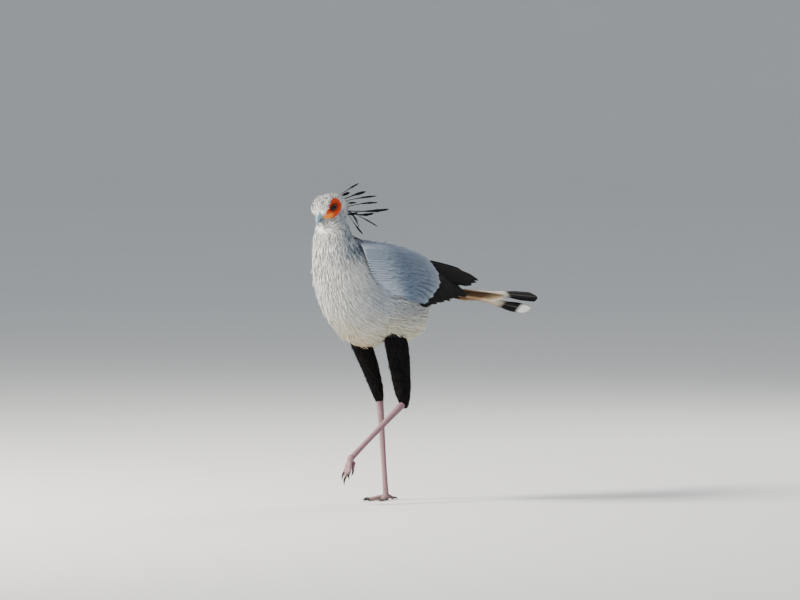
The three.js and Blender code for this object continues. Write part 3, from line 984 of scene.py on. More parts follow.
def lie(points: Array, normals: Array) -> Array:
    """The way that feathers lie at each place: back over the head, down the neck and along the body.

    Args:
        points: (n, 3) places.
        normals: (n, 3) the skin's normals there.

    Returns:
        (n, 3) unit vectors in the skin's surface.
    """
    near = BODY_LINE.nearest(points)
    tangent = BODY_LINE.tangent[near]
    flow = np.stack([np.zeros(len(points)), -tangent[:, 0], -tangent[:, 1]], -1)
    t = BODY_LINE.t[near]
    flow = flow + UP * (-0.45 * ramp(points[:, 2], 800, 620) * ramp(t, 2.0, 3.5))[:, None]
    backward = HEAD.matrix @ np.array([0.0, 1.0, -0.35])
    share = ramp(away_from_head(points), 105, 60)[:, None]
    flow = flow * (1 - share) + backward * share
    flow = flow - normals * (flow * normals).sum(1)[:, None]
    return unit(flow)


# Vanes


@dataclass
class Vanes:
    """Feathers as arrays: for each, stations with a centre, a normal, a way across and a half width."""

    centre: Array
    normal: Array
    across: Array
    half: Array
    root_uv: Array
    colour: Array
    thick: float = 0.5
    cup: float = 0.1
    fine: bool = False

    def surface(self) -> tuple[Surface, Array, Array, Array]:
        """Closed vanes with a ridge along the shaft, a flat or cupped underside and a pointed tip.

        Returns:
            The surface, then for each point its place in the vane, its patch on the unwrap and its colour.
        """
        count, stations = self.half.shape
        if self.fine:
            u = np.array([-1.0, -0.5, 0.0, 0.5, 1.0, 0.4, -0.4])
            rise = np.array([0.0, 0.45, 1.0, 0.45, 0.0, -0.5, -0.5])
        else:
            u, rise = np.array([-1.0, 0.0, 1.0]), np.array([0.0, 1.0, 0.0])
        around = len(u)
        lift = rise * self.thick - self.cup * self.half[..., None] * u**2
        points = (
            self.centre[:, :, None]
            + self.across[:, :, None] * (self.half[..., None] * u)[..., None]
            + self.normal[:, :, None] * lift[..., None]
        )
        base = np.arange(count)[:, None, None] * stations * around
        quads = (base + ring_faces(stations, around)).reshape(-1, 4)
        fan = np.arange(1, around - 1)
        root = np.stack([np.zeros_like(fan), fan + 1, fan], -1)
        tip = np.stack([np.zeros_like(fan), fan, fan + 1], -1) + (stations - 1) * around
        caps = (base + np.concatenate([root, tip])).reshape(-1, 3)
        surface = Surface()
        surface.add(points.reshape(-1, 3), quads, caps)
        share = np.broadcast_to(np.linspace(0, 1, stations)[None, :, None], (count, stations, around))
        side = np.broadcast_to(u, (count, stations, around))
        vane = np.stack([side, share], -1).reshape(-1, 2)
        patch = self.root_uv[:, None, None] + PATCH * np.stack([side, 2 * share - 1], -1)
        colour = np.broadcast_to(self.colour[:, :, None], (count, stations, around, 3))
        return surface, vane, patch.reshape(-1, 2), colour.reshape(-1, 3)


def one_vane(
    centre: Array,
    normal: Array,
    across: Array,
    half: Array,
    patch: Array,
    colour: Array,
    thick: float,
    cup: float,
) -> Vanes:
    """A single large feather.

    Args:
        centre: (stations, 3) places along its shaft.
        normal: the way that its upper side faces, for each station or for all.
        across: the way across it, for each station or for all.
        half: its half width at each station.
        patch: its root's place on the unwrap.
        colour: its colour, for each station or for all.
        thick: its thickness at the shaft.
        cup: how far its edges drop, as a share of the half width.

    Returns:
        The feather, as the only one of its group.
    """
    normal, across, colour = (np.broadcast_to(v, centre.shape) for v in (normal, across, colour))
    patch = np.reshape(patch, (1, 2))
    return Vanes(centre[None], normal[None], across[None], half[None], patch, colour[None], thick, cup, True)


def vane_mesh(name: str, groups: Sequence[Vanes]) -> bpy.types.Mesh:
    """A mesh of vanes with its UV maps and colours.

    Args:
        name: the mesh's name.
        groups: the vanes.

    Returns:
        The mesh.
    """
    whole = Surface()
    parts: list[tuple[Array, Array, Array]] = []
    for group in groups:
        surface, *marks = group.surface()
        whole.add(surface.points[0], surface.quads[0], surface.triangles[0])
        parts.append(tuple(marks))
    mesh = whole.mesh(name)
    vane, patch, colour = (np.concatenate(kind) for kind in zip(*parts))
    set_uv(mesh, BAKE_MAP, patch)
    set_uv(mesh, VANE_MAP, vane)
    set_colours(mesh, colour)
    return mesh


@dataclass(frozen=True)
class Tract:
    """A region of small feathers that are all alike, with sizes in millimetres."""

    name: str
    spacing: float
    length: float
    half: float
    lift: float
    keep: Callable[[Array], Array]
    sink: float = 1.0
    splay: float = 0.18
    mottle: float = 0.1
    strays: float = 0.05
    stray_lift: float = 1.7


class Coat:
    """Small feathers over a skin, tract by tract."""

    def __init__(
        self,
        skin: bpy.types.Mesh,
        flow: Callable[[Array, Array], Array],
        colour: Callable[[Array], Array],
        unwrap: Callable[[Array], Array],
    ) -> None:
        """Reads the skin, and keeps the way that feathers lie, their colours and the skin's unwrap."""
        self.points = mesh_points(skin)
        self.normals = mesh_normals(skin)
        skin.calc_loop_triangles()
        corners = np.zeros(len(skin.loop_triangles) * 3, np.int32)
        skin.loop_triangles.foreach_get("vertices", corners)
        self.corners = corners.reshape(-1, 3)
        self.tree = BVHTree.FromPolygons([Vector(p) for p in self.points], self.corners.tolist())
        self.flow, self.colour, self.unwrap = flow, colour, unwrap

    def _snap(self, points: Array) -> tuple[Array, Array]:
        """The nearest places on the skin.

        Args:
            points: (n, 3) places.

        Returns:
            (n, 3) places on the skin, and the smooth normals there.
        """
        found = [self.tree.find_nearest(Vector(p)) for p in points]
        places = np.array([f[0][:] for f in found])
        normal = self.normals[self.corners[[f[2] for f in found]]].mean(1)
        return places, unit(normal)

    def _roots(self, tract: Tract, rng: np.random.Generator) -> tuple[Array, Array]:
        """Evenly spread roots: random places thinned to one in each cell of the spacing's size.

        Args:
            tract: the tract.
            rng: the random numbers.

        Returns:
            (n, 3) places and the skin's normals there.
        """
        a, b, c = (self.points[self.corners[:, i]] for i in range(3))
        kept = tract.keep((a + b + c) / 3)
        area = 0.5 * np.linalg.norm(np.cross(b - a, c - a), axis=1) * kept
        count = int(area.sum() / tract.spacing**2 * 2.2)
        pick = rng.choice(len(area), count, p=area / area.sum())
        u, v = rng.random(count), rng.random(count)
        over = u + v > 1
        u[over], v[over] = 1 - u[over], 1 - v[over]
        places = a[pick] + (b - a)[pick] * u[:, None] + (c - a)[pick] * v[:, None]
        cells = np.floor(places / tract.spacing + 0.37).astype(np.int64)
        _, first = np.unique(cells @ np.array([1, 4001, 16008001]), return_index=True)
        first = np.sort(first)
        return places[first], unit(self.normals[self.corners[pick[first]]].mean(1))

    def vanes(self, tract: Tract, seed: int, stations: int = 4) -> Vanes:
        """The feathers of a tract, each walked along the skin from its root to its tip.

        Args:
            tract: the tract.
            seed: what its random numbers start from.
            stations: points along each feather.

        Returns:
            The feathers.
        """
        rng = np.random.default_rng(seed)
        place, normal = self._roots(tract, rng)
        count = len(place)
        length = tract.length * (0.75 + 0.5 * rng.random(count))
        swing = (rng.random(count) - 0.5) * 2 * tract.splay
        rise = tract.lift * (0.6 + 0.5 * rng.random(count))
        rise = rise * np.where(rng.random(count) < tract.strays, tract.stray_lift, 1.0)
        centres, normals, across = [], [], []
        point = place
        for k in range(stations):
            share = k / (stations - 1)
            ahead = self.flow(point, normal)
            side = unit(np.cross(ahead, normal))
            ahead = unit(ahead + side * swing[:, None])
            height = -tract.sink + (rise + tract.sink) * (share * (1.6 - 0.6 * share))
            centres.append(point + normal * height[:, None])
            normals.append(unit(normal - ahead * 0.15))
            across.append(unit(np.cross(ahead, normal)))
            if k < stations - 1:
                point, normal = self._snap(point + ahead * (length / (stations - 1))[:, None])
        profile = np.interp(np.linspace(0, 1, stations), [0, 0.35, 0.75, 1], [0.5, 1, 0.8, 0.08])
        half = tract.half * profile[None] * (0.8 + 0.4 * rng.random(count))[:, None]
        shade = 1 + tract.mottle * (rng.random(count) * 2 - 1)
        share = np.linspace(0, 1, stations)[None, :, None]
        # Painted shade: each feather is darker at its root, where the feathers over it cover it, and lighter
        # to its tip.
        colour = np.clip(self.colour(place) * shade[:, None], 0, 0.9)[:, None] * (0.82 + 0.24 * share)
        lines = (np.stack(rows, 1) for rows in (centres, normals, across))
        return Vanes(*lines, half, self.unwrap(place), colour, thick=max(0.12 * tract.half, 0.15), cup=0.2)


# Sub-assemblies


@dataclass
class BodySkin:
    """One skin over the body, neck and head, under the coat by its depth."""

    voxel: float = 4.0
    rounds: int = 6
    torso_depth: float = 11.0
    neck_depth: float = 6.5
    head_depth: float = 4.6
    flatten: float = 2.5
    face_rise: float = 1.8
    fold_depth: float = 1.4
    fold_width: float = 2.2
    fold_place: tuple[float, float] = (-30.0, -19.0)
    fold_slope: float = 0.12
    socket: float = 2.5

    def build(self) -> bpy.types.Mesh:
        """Makes the skin, raises the bare faces to their full size and sinks it behind each eyeball.

        Returns:
            The mesh.
        """
        forms = Surface()
        places = np.linspace(0, BODY.last, 61)
        depths = (self.torso_depth, self.torso_depth, self.neck_depth, self.head_depth)
        forms.tube(BODY.rings(places, 48, -np.interp(places, (0, 6, 8, 10), depths)))
        forms.tube(HEAD_FORM.rings(np.linspace(0, HEAD_FORM.last, 40), 48, -self.head_depth))
        for side in SIDES.values():
            forms.tube(limb_rings(mirrored(FLANK_PATH, side), FLANK_RADII, 20, 24, -self.torso_depth))
        mesh = remeshed(forms, "body_skin", self.voxel, self.rounds)
        points, normals = mesh_points(mesh), mesh_normals(mesh)
        local = HEAD.into(points)
        crown = self.flatten * ramp(local[:, 2], 12, 42) * ramp(away_from_head(points), 80, 60)
        points = HEAD.out(local - UP * crown[:, None])
        face = face_share(points)
        points = points + normals * (face * (self.head_depth + self.face_rise))[:, None]
        fold_y, fold_z = self.fold_place
        for side in SIDES.values():
            local = HEAD.into(points)
            away = np.abs(local[:, 2] - fold_z - self.fold_slope * (local[:, 1] - fold_y))
            away = away + 60 * ramp(local[:, 1], -8, 6)
            fold = self.fold_depth * np.exp(-((away / self.fold_width) ** 2))
            fold = fold * face * (side * local[:, 0] > 0)
            points = points - normals * fold[:, None]
            centre = HEAD.out(mirrored(EYE, side))
            offset = points - centre
            reach = np.linalg.norm(offset, axis=1)[:, None]
            inside = ramp(reach, EYE_RADIUS + self.socket, EYE_RADIUS - 1.0)
            points = points * (1 - inside) + (centre + offset * (EYE_RADIUS - self.socket) / reach) * inside
        move_points(mesh, points)
        return mesh

    def dress(self, mesh: bpy.types.Mesh, finish: bpy.types.Material) -> None:
        """Colours the skin and puts it in the scene.

        Args:
            mesh: the skin.
            finish: its material.
        """
        points = mesh_points(mesh)
        set_colours(mesh, plumage(points))
        set_uv(mesh, BAKE_MAP, BODY_LINE.unwrap(points))
        nodes = ("torso", "neck_lower", "neck_upper", "head", "face_left", "face_right")
        add_object(mesh, finish, Slot.WHITE, *nodes)


def away_from_head(points: Array) -> Array:
    """How far each place is from the middle of the head."""
    return np.linalg.norm(points - np.array(HEAD.centre), axis=1)


def outside_wings(points: Array) -> Array:
    """Where the wings don't cover the body."""
    x, y, z = points.T
    return ~((np.abs(x) > 55) & (y > -95) & (y < 130) & (z > 700) & (z < 830))


@dataclass
class BodyCoat:
    """The small feathers of the head, neck and body."""

    seed: int = 11

    def tracts(self) -> list[Tract]:
        """The tracts, from the head back."""

        def head(points: Array) -> Array:
            """Everywhere but the bare face and the bill."""
            local = HEAD.into(points)
            bare = face_share(points) < 0.5
            bill = (local[:, 1] < -33) & (np.abs(local[:, 0]) < 15) & (local[:, 2] < 16)
            return (away_from_head(points) < 72) & bare & ~bill

        def neck(points: Array) -> Array:
            """Below the head."""
            return (away_from_head(points) >= 62) & (BODY_LINE.places(points) > 7.9)

        def breast(points: Array) -> Array:
            """From the neck to the wings."""
            t = BODY_LINE.places(points)
            return (t <= 8.1) & (t > 4.6) & outside_wings(points)

        def belly(points: Array) -> Array:
            """Behind the breast."""
            return (BODY_LINE.places(points) <= 4.8) & outside_wings(points) & (points[:, 2] > 588)

        def vent(points: Array) -> Array:
            """The underside."""
            return (BODY_LINE.places(points) <= 4.8) & (points[:, 2] <= 600)

        return [
            Tract("coat_head", 2.6, 9.0, 1.4, 1.6, head, sink=0.8, mottle=0.14),
            Tract("coat_neck", 3.5, 34.0, 1.9, 5.5, neck, mottle=0.2),
            Tract("coat_breast", 5.2, 42.0, 3.2, 9.0, breast, mottle=0.12),
            Tract("coat_belly", 5.6, 44.0, 3.6, 9.0, belly, mottle=0.1),
            Tract("coat_vent", 5.0, 54.0, 3.0, 13.0, vent, splay=0.3, mottle=0.12),
        ]

    def build(self, skin: bpy.types.Mesh, finish: bpy.types.Material) -> None:
        """Grows every tract on the skin.

        Args:
            skin: the body's skin.
            finish: the feathers' material.
        """
        coat = Coat(skin, lie, plumage, BODY_LINE.unwrap)
        for i, tract in enumerate(self.tracts()):
            mesh = vane_mesh(tract.name, [coat.vanes(tract, self.seed + i)])
            add_object(mesh, finish, Slot.WHITE)


@dataclass
class Thigh:
    """A feathered thigh and its skin."""

    name: str
    path: tuple[tuple[float, float, float], ...]
    radii: tuple[tuple[float, float], ...]
    hem: float = 548.0
    depth: float = 5.0

    def _place(self, points: Array) -> tuple[Array, Array, Array]:
        """Places as the thigh's axis sees them.

        Args:
            points: (n, 3) places.

        Returns:
            How far down the thigh each place is, the way down there, and the offset from the axis.
        """
        line = Spline(self.path)
        t = np.linspace(0, line.last, 121)
        axis = line(t)
        near = ((points[:, None] - axis) ** 2).sum(-1).argmin(1)
        return t[near] / line.last, unit(np.gradient(axis, axis=0))[near], points - axis[near]

    def flow(self, points: Array, normals: Array) -> Array:
        """The way that the feathers lie: down the thigh."""
        down = self._place(points)[1]
        return unit(down - normals * (down * normals).sum(1)[:, None])

    def unwrap(self, points: Array) -> Array:
        """Places on an unwrap of the thigh: down it and around it.

        Args:
            points: (n, 3) places.

        Returns:
            (n, 2) places from 0 to 1.
        """
        share, _, offset = self._place(points)
        angle = np.arctan2(offset[:, 1], offset[:, 0])
        return np.stack([0.05 + 0.9 * share, 0.5 + angle / (2 * math.pi) * 0.96], -1)

    def colour(self, points: Array) -> Array:
        """Black with a faint brown cast in patches."""
        return blend(INK, SOOT, 0.5 + 0.5 * waves(points, 40, 4))

    def build(self, skin: bpy.types.Material, plume: bpy.types.Material) -> None:
        """Makes the thigh.

        Args:
            skin: the material of the skin.
            plume: the material of the feathers.
        """
        forms = Surface()
        forms.tube(limb_rings(np.array(self.path, float), self.radii, 60, 36, -self.depth))
        mesh = forms.mesh(f"thigh_{self.name}_skin")
        points = mesh_points(mesh)
        set_colours(mesh, self.colour(points))
        set_uv(mesh, BAKE_MAP, self.unwrap(points))
        add_object(mesh, skin, Slot.BLACK, f"thigh_{self.name}")
        coat = Coat(mesh, self.flow, self.colour, self.unwrap)
        tract = Tract("thigh", 3.8, 30.0, 2.4, 5.0, lambda points: points[:, 2] < self.hem, mottle=0.5)
        feathers = vane_mesh(f"coat_thigh_{self.name}", [coat.vanes(tract, 31)])
        add_object(feathers, plume, Slot.BLACK)


THIGHS = {
    "left": (
        ((62, -40, 600), (64, -26, 560), (66, -12, 500), (70, -1, 422), (73, 6, 360), (76, 13, 311)),
        ((30, 36), (34, 40), (35, 41), (31, 34), (26, 27), (13, 13)),
    ),
    "right": (
        ((-57, -92, 600), (-54, -82, 560), (-46, -60, 500), (-36, -30, 422), (-29, -12, 360), (-25, -4, 324)),
        ((30, 36), (32, 38), (31, 35), (26, 28), (20, 21), (12.5, 12.5)),
    ),
}


class Fan:
    """A surface from a line of roots to a line of tips, bulging between them, that feathers lie on."""

    def __init__(
        self, roots: Sequence[Sequence[float]], tips: Sequence[Sequence[float]], bulge: Sequence[float]
    ) -> None:
        """Keeps the two lines and the bulge."""
        self.roots, self.tips = Spline(roots), Spline(tips)
        self.bulge = np.array(bulge, float)

    def raw(self, g: Array, s: Array) -> Array:
        """Points at share g across the fan and s of its length.

        Args:
            g: shares across.
            s: shares along.

        Returns:
            The places.
        """
        g, s = np.broadcast_arrays(g, s)
        root, tip = self.roots(g * self.roots.last), self.tips(g * self.tips.last)
        s = s[..., None]
        return root + (tip - root) * s + self.bulge * 4 * s * (1 - s)

    def frame(self, g: Array, s: Array) -> tuple[Array, Array, Array]:
        """Points with the outward normal and the way along there.

        Args:
            g: shares across.
            s: shares along.

        Returns:
            Places, normals and ways along.
        """
        step = 0.01
        across = self.raw(g + step, s) - self.raw(g - step, s)
        along = self.raw(g, s + step) - self.raw(g, s - step)
        normal = unit(np.cross(along, across))
        normal = np.where(normal[..., :1] < 0, -normal, normal)
        return self.raw(g, s), normal, unit(along)


@dataclass(frozen=True)
class Tier:
    """A row of overlapping wing feathers: how many, from where to where, and how wide."""

    count: int
    start: float
    end: float
    half: float
    lift: float
    uneven: float = 0.02


COVERTS = Fan(
    ((38, -138, 856), (96, -146, 846), (122, -142, 802), (124, -116, 738), (114, -66, 686)),
    ((32, 122, 816), (46, 148, 796), (61, 172, 762), (75, 180, 722), (89, 150, 686), (99, 94, 646)),
    (22, 0, 8),
)
SECONDARIES = Fan(
    ((44, 70, 778), (66, 76, 745), (82, 66, 705), (92, 30, 668)),
    ((46, 330, 664), (60, 268, 660), (74, 205, 652), (86, 150, 647), (94, 98, 637)),
    (8, 4, 8),
)
PRIMARIES = Fan(
    ((30, 110, 786), (42, 110, 758), (50, 110, 728)),
    ((26, 400, 718), (34, 380, 709), (41, 350, 701)),
    (4, 0, 6),
)
BROAD = ((0, 0.7), (0.3, 0.9), (0.7, 1.0), (0.88, 0.86), (0.96, 0.5), (1, 0.1))
RACKET = ((0, 0.4), (0.6, 0.5), (0.8, 0.95), (0.94, 1.0), (0.985, 0.75), (1, 0.3))
SPATULATE = ((0, 0.3), (0.38, 0.34), (0.55, 0.6), (0.7, 1.0), (0.92, 0.7), (1, 0.1))


def profile(rows: Sequence[Sequence[float]], stations: int) -> Array:
    """Half widths along a feather as shares of its widest."""
    table = np.array(rows)
    return np.interp(np.linspace(0, 1, stations), table[:, 0], table[:, 1])


@dataclass
class Wing:
    """A folded wing: a pad under tiers of coverts, then secondaries and primaries.

    The number with a tier of flight feathers is the height of their roots over the fan.
    """

    name: str
    stations: int = 9
    tilt: float = 0.12
    right_pivot: tuple[float, float, float] = (-60.0, -120.0, 800.0)
    right_shift: tuple[float, float, float] = (0.0, -16.0, 0.0)
    right_roll: float = 2.5
    pad_reach: tuple[float, float] = (-0.1, 0.93)
    pad_top: float = 4.5
    pad_depth: float = 15.0
    covert_base: float = -4.5
    covert_step: float = 0.35
    lining_base: float = -8.0
    broad: tuple[Tier, ...] = (
        Tier(13, 0.66, 1.0, 15.0, 1.5),
        Tier(15, 0.5, 0.84, 12.0, 1.5),
        Tier(17, 0.38, 0.7, 10.5, 1.5),
    )
    small_starts: tuple[float, ...] = (0.3, 0.24, 0.18, 0.12, 0.06, 0.0, -0.06, -0.12, -0.17)
    lining: Tier = Tier(12, 0.0, 0.9, 17.0, -2.0)
    secondaries: tuple[tuple[Tier, float], ...] = (
        (Tier(15, 0.0, 1.0, 15.0, 0.0, 0.025), -1.0),
        (Tier(14, 0.0, 0.6, 16.0, 0.0, 0.03), 0.6),
        (Tier(12, 0.0, 0.93, 16.0, 0.0, 0.02), -3.0),
    )
    primaries: tuple[tuple[Tier, float], ...] = (
        (Tier(7, 0.0, 1.0, 11.0, 0.0, 0.03), -0.5),
        (Tier(6, 0.0, 0.86, 12.0, 0.0, 0.03), -2.5),
    )

    def placed(self, points: Array) -> Array:
        """Points of the left wing where this wing has them: the right one is lower and turned a little.

        Args:
            points: (..., 3) places.

        Returns:
            The places.
        """
        if SIDES[self.name] > 0:
            return points
        pivot, shift = np.array(self.right_pivot), np.array(self.right_shift)
        return (mirrored(points, -1) - pivot) @ turn(0, self.right_roll).T + pivot + shift

    def tier(self, fan: Fan, tier: Tier, tint: Tint, base: float, index: int) -> Vanes:
        """The feathers of one tier.

        Args:
            fan: the surface that they lie on.
            tier: their sizes.
            tint: their colours from the share across the fan, along the feather and along the fan.
            base: the height of the roots over the fan.
            index: the tier's number, which staggers it and sets its pattern apart.

        Returns:
            The vanes.
        """
        order = np.arange(tier.count)
        g = np.clip((order + 0.5 * (index % 2)) / max(tier.count - 0.5, 1), 0, 1)
        share = np.linspace(0, 1, self.stations)
        wobble = tier.uneven * np.sin(order * 2.4 + index)
        s = tier.start + (tier.end + wobble[:, None] - tier.start) * share
        across_share = np.broadcast_to(g[:, None], s.shape)
        centre, normal, along = fan.frame(across_share, s)
        layer = 0.25 * (order % 3)[:, None]
        centre = centre + normal * (base + layer + tier.lift * share)[..., None]
        centre, far, ahead = (self.placed(v) for v in (centre, centre + normal, centre + along))
        normal, along = far - centre, unit(ahead - centre)
        normal = unit(normal + unit(np.cross(along, normal)) * self.tilt)
        across = unit(np.cross(along, normal))
        half = tier.half * np.broadcast_to(profile(BROAD, self.stations), s.shape)
        patch = np.stack([0.04 + 0.92 * g, np.full(len(g), 0.04 + 0.9 * np.clip(tier.start, 0, 1))], -1)
        colour = tint(across_share, share, s)
        return Vanes(centre, normal, across, half, patch, colour, thick=0.9, cup=0.12, fine=True)

    def pad(self, hide: bpy.types.Material) -> None:
        """Makes the body of the wing under its coverts, a plate that thins towards the tips.

        Args:
            hide: its material.
        """
        s, g = np.meshgrid(np.linspace(*self.pad_reach, 26), np.linspace(0, 1, 20), indexing="ij")
        centre, normal, _ = COVERTS.frame(g, s)
        under = self.pad_depth * (1 - 0.55 * np.clip(s, 0, 1) ** 2)
        top, low = centre - normal * self.pad_top, centre - normal * under[..., None]
        surface = Surface()
        surface.tube(self.placed(np.concatenate([top, low[:, ::-1]], 1)))
        mesh = surface.mesh(f"wing_{self.name}_pad")
        g, s = (np.concatenate([v, v[:, ::-1]], 1) for v in (g, s))
        g, s = np.append(g, (0.5, 0.5)), np.append(s, self.pad_reach)
        set_colours(mesh, self.covert_tint(g, np.zeros_like(g), s))
        set_uv(mesh, BAKE_MAP, np.stack([0.04 + 0.92 * g, 0.14 + 0.8 * s], -1))
        add_object(mesh, hide, Slot.GREY)

    def covert_tint(self, g: Array, share: Array, s: Array) -> Array:
        """Blue-grey, darker on the lower edge and at the back, with paler feather tips.

        Args:
            g: share across the wing.
            share: share along each feather.
            s: share along the wing.

        Returns:
            Colours.
        """
        tip = np.broadcast_to(ramp(share, 0.8, 1.0), s.shape)[..., None]
        pattern = np.sin(g * 37 + s * 11) * 0.5 + np.sin(g * 83 + 2 * s) * 0.5
        tone = 1.0 + 0.14 * pattern[..., None] - 0.22 * np.clip(s, 0, 1)[..., None] ** 2
        base = SLATE * 1.15 * tone
        front = (ramp(s, 0.36, -0.08) * ramp(g, 0.12, 0.3))[..., None]
        rear = (ramp(s, 0.72, 1.0) * ramp(g, 0.1, 0.3))[..., None]
        base = base * (1 - front) + (0.85 * SHADE + 0.13 * WHITE) * front
        base = base * (1 - 0.6 * rear) + SHADE * 0.8 * 0.6 * rear
        return base * (1 + 0.5 * tip)

    def flight_tint(self, g: Array, share: Array, s: Array) -> Array:
        """Black with a faint brown fade towards the tip."""
        fade = np.broadcast_to(share, s.shape)[..., None]
        return INK * (1 - fade) + FADED_BLACK * fade

    def build(self, plume: bpy.types.Material, flight: bpy.types.Material, hide: bpy.types.Material) -> None:
        """Makes the wing.

        Args:
            plume: the coverts' material.
            flight: the flight feathers' material.
            hide: the material under the coverts.
        """
        small = [Tier(34, start, start + 0.27, 5.0, 1.6, 0.05) for start in self.small_starts]
        rows = []
        for i, tier in enumerate([*self.broad, *small]):
            base = self.covert_base + self.covert_step * i
            rows.append(self.tier(COVERTS, tier, self.covert_tint, base, i))
        rows.append(self.tier(COVERTS, self.lining, self.covert_tint, self.lining_base, 3))
        self.pad(hide)
        mesh = vane_mesh(f"wing_{self.name}_covert_feathers", rows)
        add_object(mesh, plume, Slot.GREY, f"wing_{self.name}_coverts")
        for one, many, fan, tiers in (
            ("secondary", "secondaries", SECONDARIES, self.secondaries),
            ("primary", "primaries", PRIMARIES, self.primaries),
        ):
            rows = []
            for i, (tier, base) in enumerate(tiers):
                rows.append(self.tier(fan, tier, self.flight_tint, base, min(i, 1)))
            mesh = vane_mesh(f"wing_{self.name}_{one}_feathers", rows)
            add_object(mesh, flight, Slot.BLACK, f"wing_{self.name}_{many}")


def banded(share: Array, root: Array, *bands: tuple[Array, float, float]) -> Array:
    """Colours along a feather, which go over into each band's tone between two shares of the length.

    Args:
        share: shares of the length.
        root: the tone at the root.
        *bands: a tone, and where it begins and is full.

    Returns:
        A colour for each share.
    """
    colour = root
    for tone, start, end in bands:
        colour = blend(colour, tone, ramp(share, start, end))
    return colour


SHORT_BANDS = (TAIL_DARK, (TAIL_BROWN, 0.25, 0.6), (TAIL_BUFF, 0.7, 0.86), (TAIL_PALE, 0.9, 0.97))
NEAR_BANDS = (TAIL_TAN, (TAIL_NEAR, 0.3, 0.65), (INK, 0.69, 0.705), (TAIL_WHITE, 0.895, 0.91))
FAR_BANDS = (TAIL_TAN, (TAIL_FAR, 0.3, 0.65), (INK, 0.72, 0.735))


@dataclass(frozen=True)
class TailFeather:
    """One tail feather: droop, spread and roll in degrees, and where it starts from the tail's root."""

    side: int
    length: float
    droop: float
    spread: float
    start: tuple[float, float, float]
    half: float
    roll: float
    outline: Sequence[Sequence[float]] = BROAD
    bands: tuple = SHORT_BANDS

    def vane(self, root: Array, stations: int) -> Vanes:
        """Makes the feather: it sags by 4 s (1 - s) and turns about its shaft towards its tip.

        Args:
            root: the tail's root.
            stations: points along it.

        Returns:
            The vane.
        """
        fall, out = math.radians(self.droop), math.radians(self.spread) * self.side
        ahead = np.array([math.sin(out), math.cos(out) * math.cos(fall), -math.sin(fall)])
        share = np.linspace(0, 1, stations)
        sag = -4.0 * share * (1 - share)
        centre = root + np.array(self.start) + ahead * (self.length * share)[:, None] + UP * sag[:, None]
        angle = -math.radians(self.roll) * self.side * (0.3 + 0.7 * share)
        above = np.cross(unit(np.cross(ahead, UP)), ahead)
        normal = above * np.cos(angle)[:, None] + np.cross(ahead, above) * np.sin(angle)[:, None]
        width = self.half * profile(self.outline, stations) * (1 + 0.03 * np.sin(share * 40))
        patch = np.array([0.5 + self.side * self.spread / 30, 0.35 + 0.5 * self.start[2] / 30])
        across, colour = np.cross(ahead, normal), banded(share, *self.bands)
        return one_vane(centre, normal, across, width, patch, colour, thick=1.0, cup=0.12)


@dataclass
class Tail:
    """The tail: short feathers in steps, two long middle ones, and rows of coverts over their roots."""

    root: tuple[float, float, float] = (0.0, 214.0, 694.0)
    droop: float = 7.6
    lengths: tuple[float, ...] = (338.0, 316.0, 292.0, 264.0, 236.0)
    spread: tuple[float, ...] = (2.0, 3.4, 5.2, 7.2, 9.2)
    covert_rows: int = 3
    coverts: int = 7
    stations: int = 24

    def build(self, finish: bpy.types.Material) -> None:
        """Makes the tail.

        Args:
            finish: its material.
        """
        feathers = [
            TailFeather(1, 452, 11.2, 1.2, (5, 0, 1), 22, 52, RACKET, NEAR_BANDS),
            TailFeather(-1, 512, 5.8, 1.2, (-4, 0, 5), 22, 52, RACKET, FAR_BANDS),
        ]
        for i, (length, spread) in enumerate(zip(self.lengths, self.spread)):
            for side in SIDES.values():
                start = (side * (4.0 + 4 * i), 0.0, 2.0 - 3.0 * i + 0.7 * side)
                half, roll = 15 - i, 46 - 3 * i
                feathers.append(TailFeather(side, length, self.droop + 0.5 * i, spread, start, half, roll))
        for row in range(self.covert_rows):
            for i in range(self.coverts):
                side = 1 if i % 2 else -1
                start = (side * i * 3.4, -14.0 + 14 * row, 8.0 - 1.3 * i + 2 * side)
                length, roll = 120.0 - 6 * i, 20 + 6 * i
                feathers.append(TailFeather(side, length, self.droop + 1, 0.5 * i, start, 13, roll))
        root = np.array(self.root)
        mesh = vane_mesh("tail_feathers", [feather.vane(root, self.stations) for feather in feathers])
        add_object(mesh, finish, Slot.TAIL, "tail")


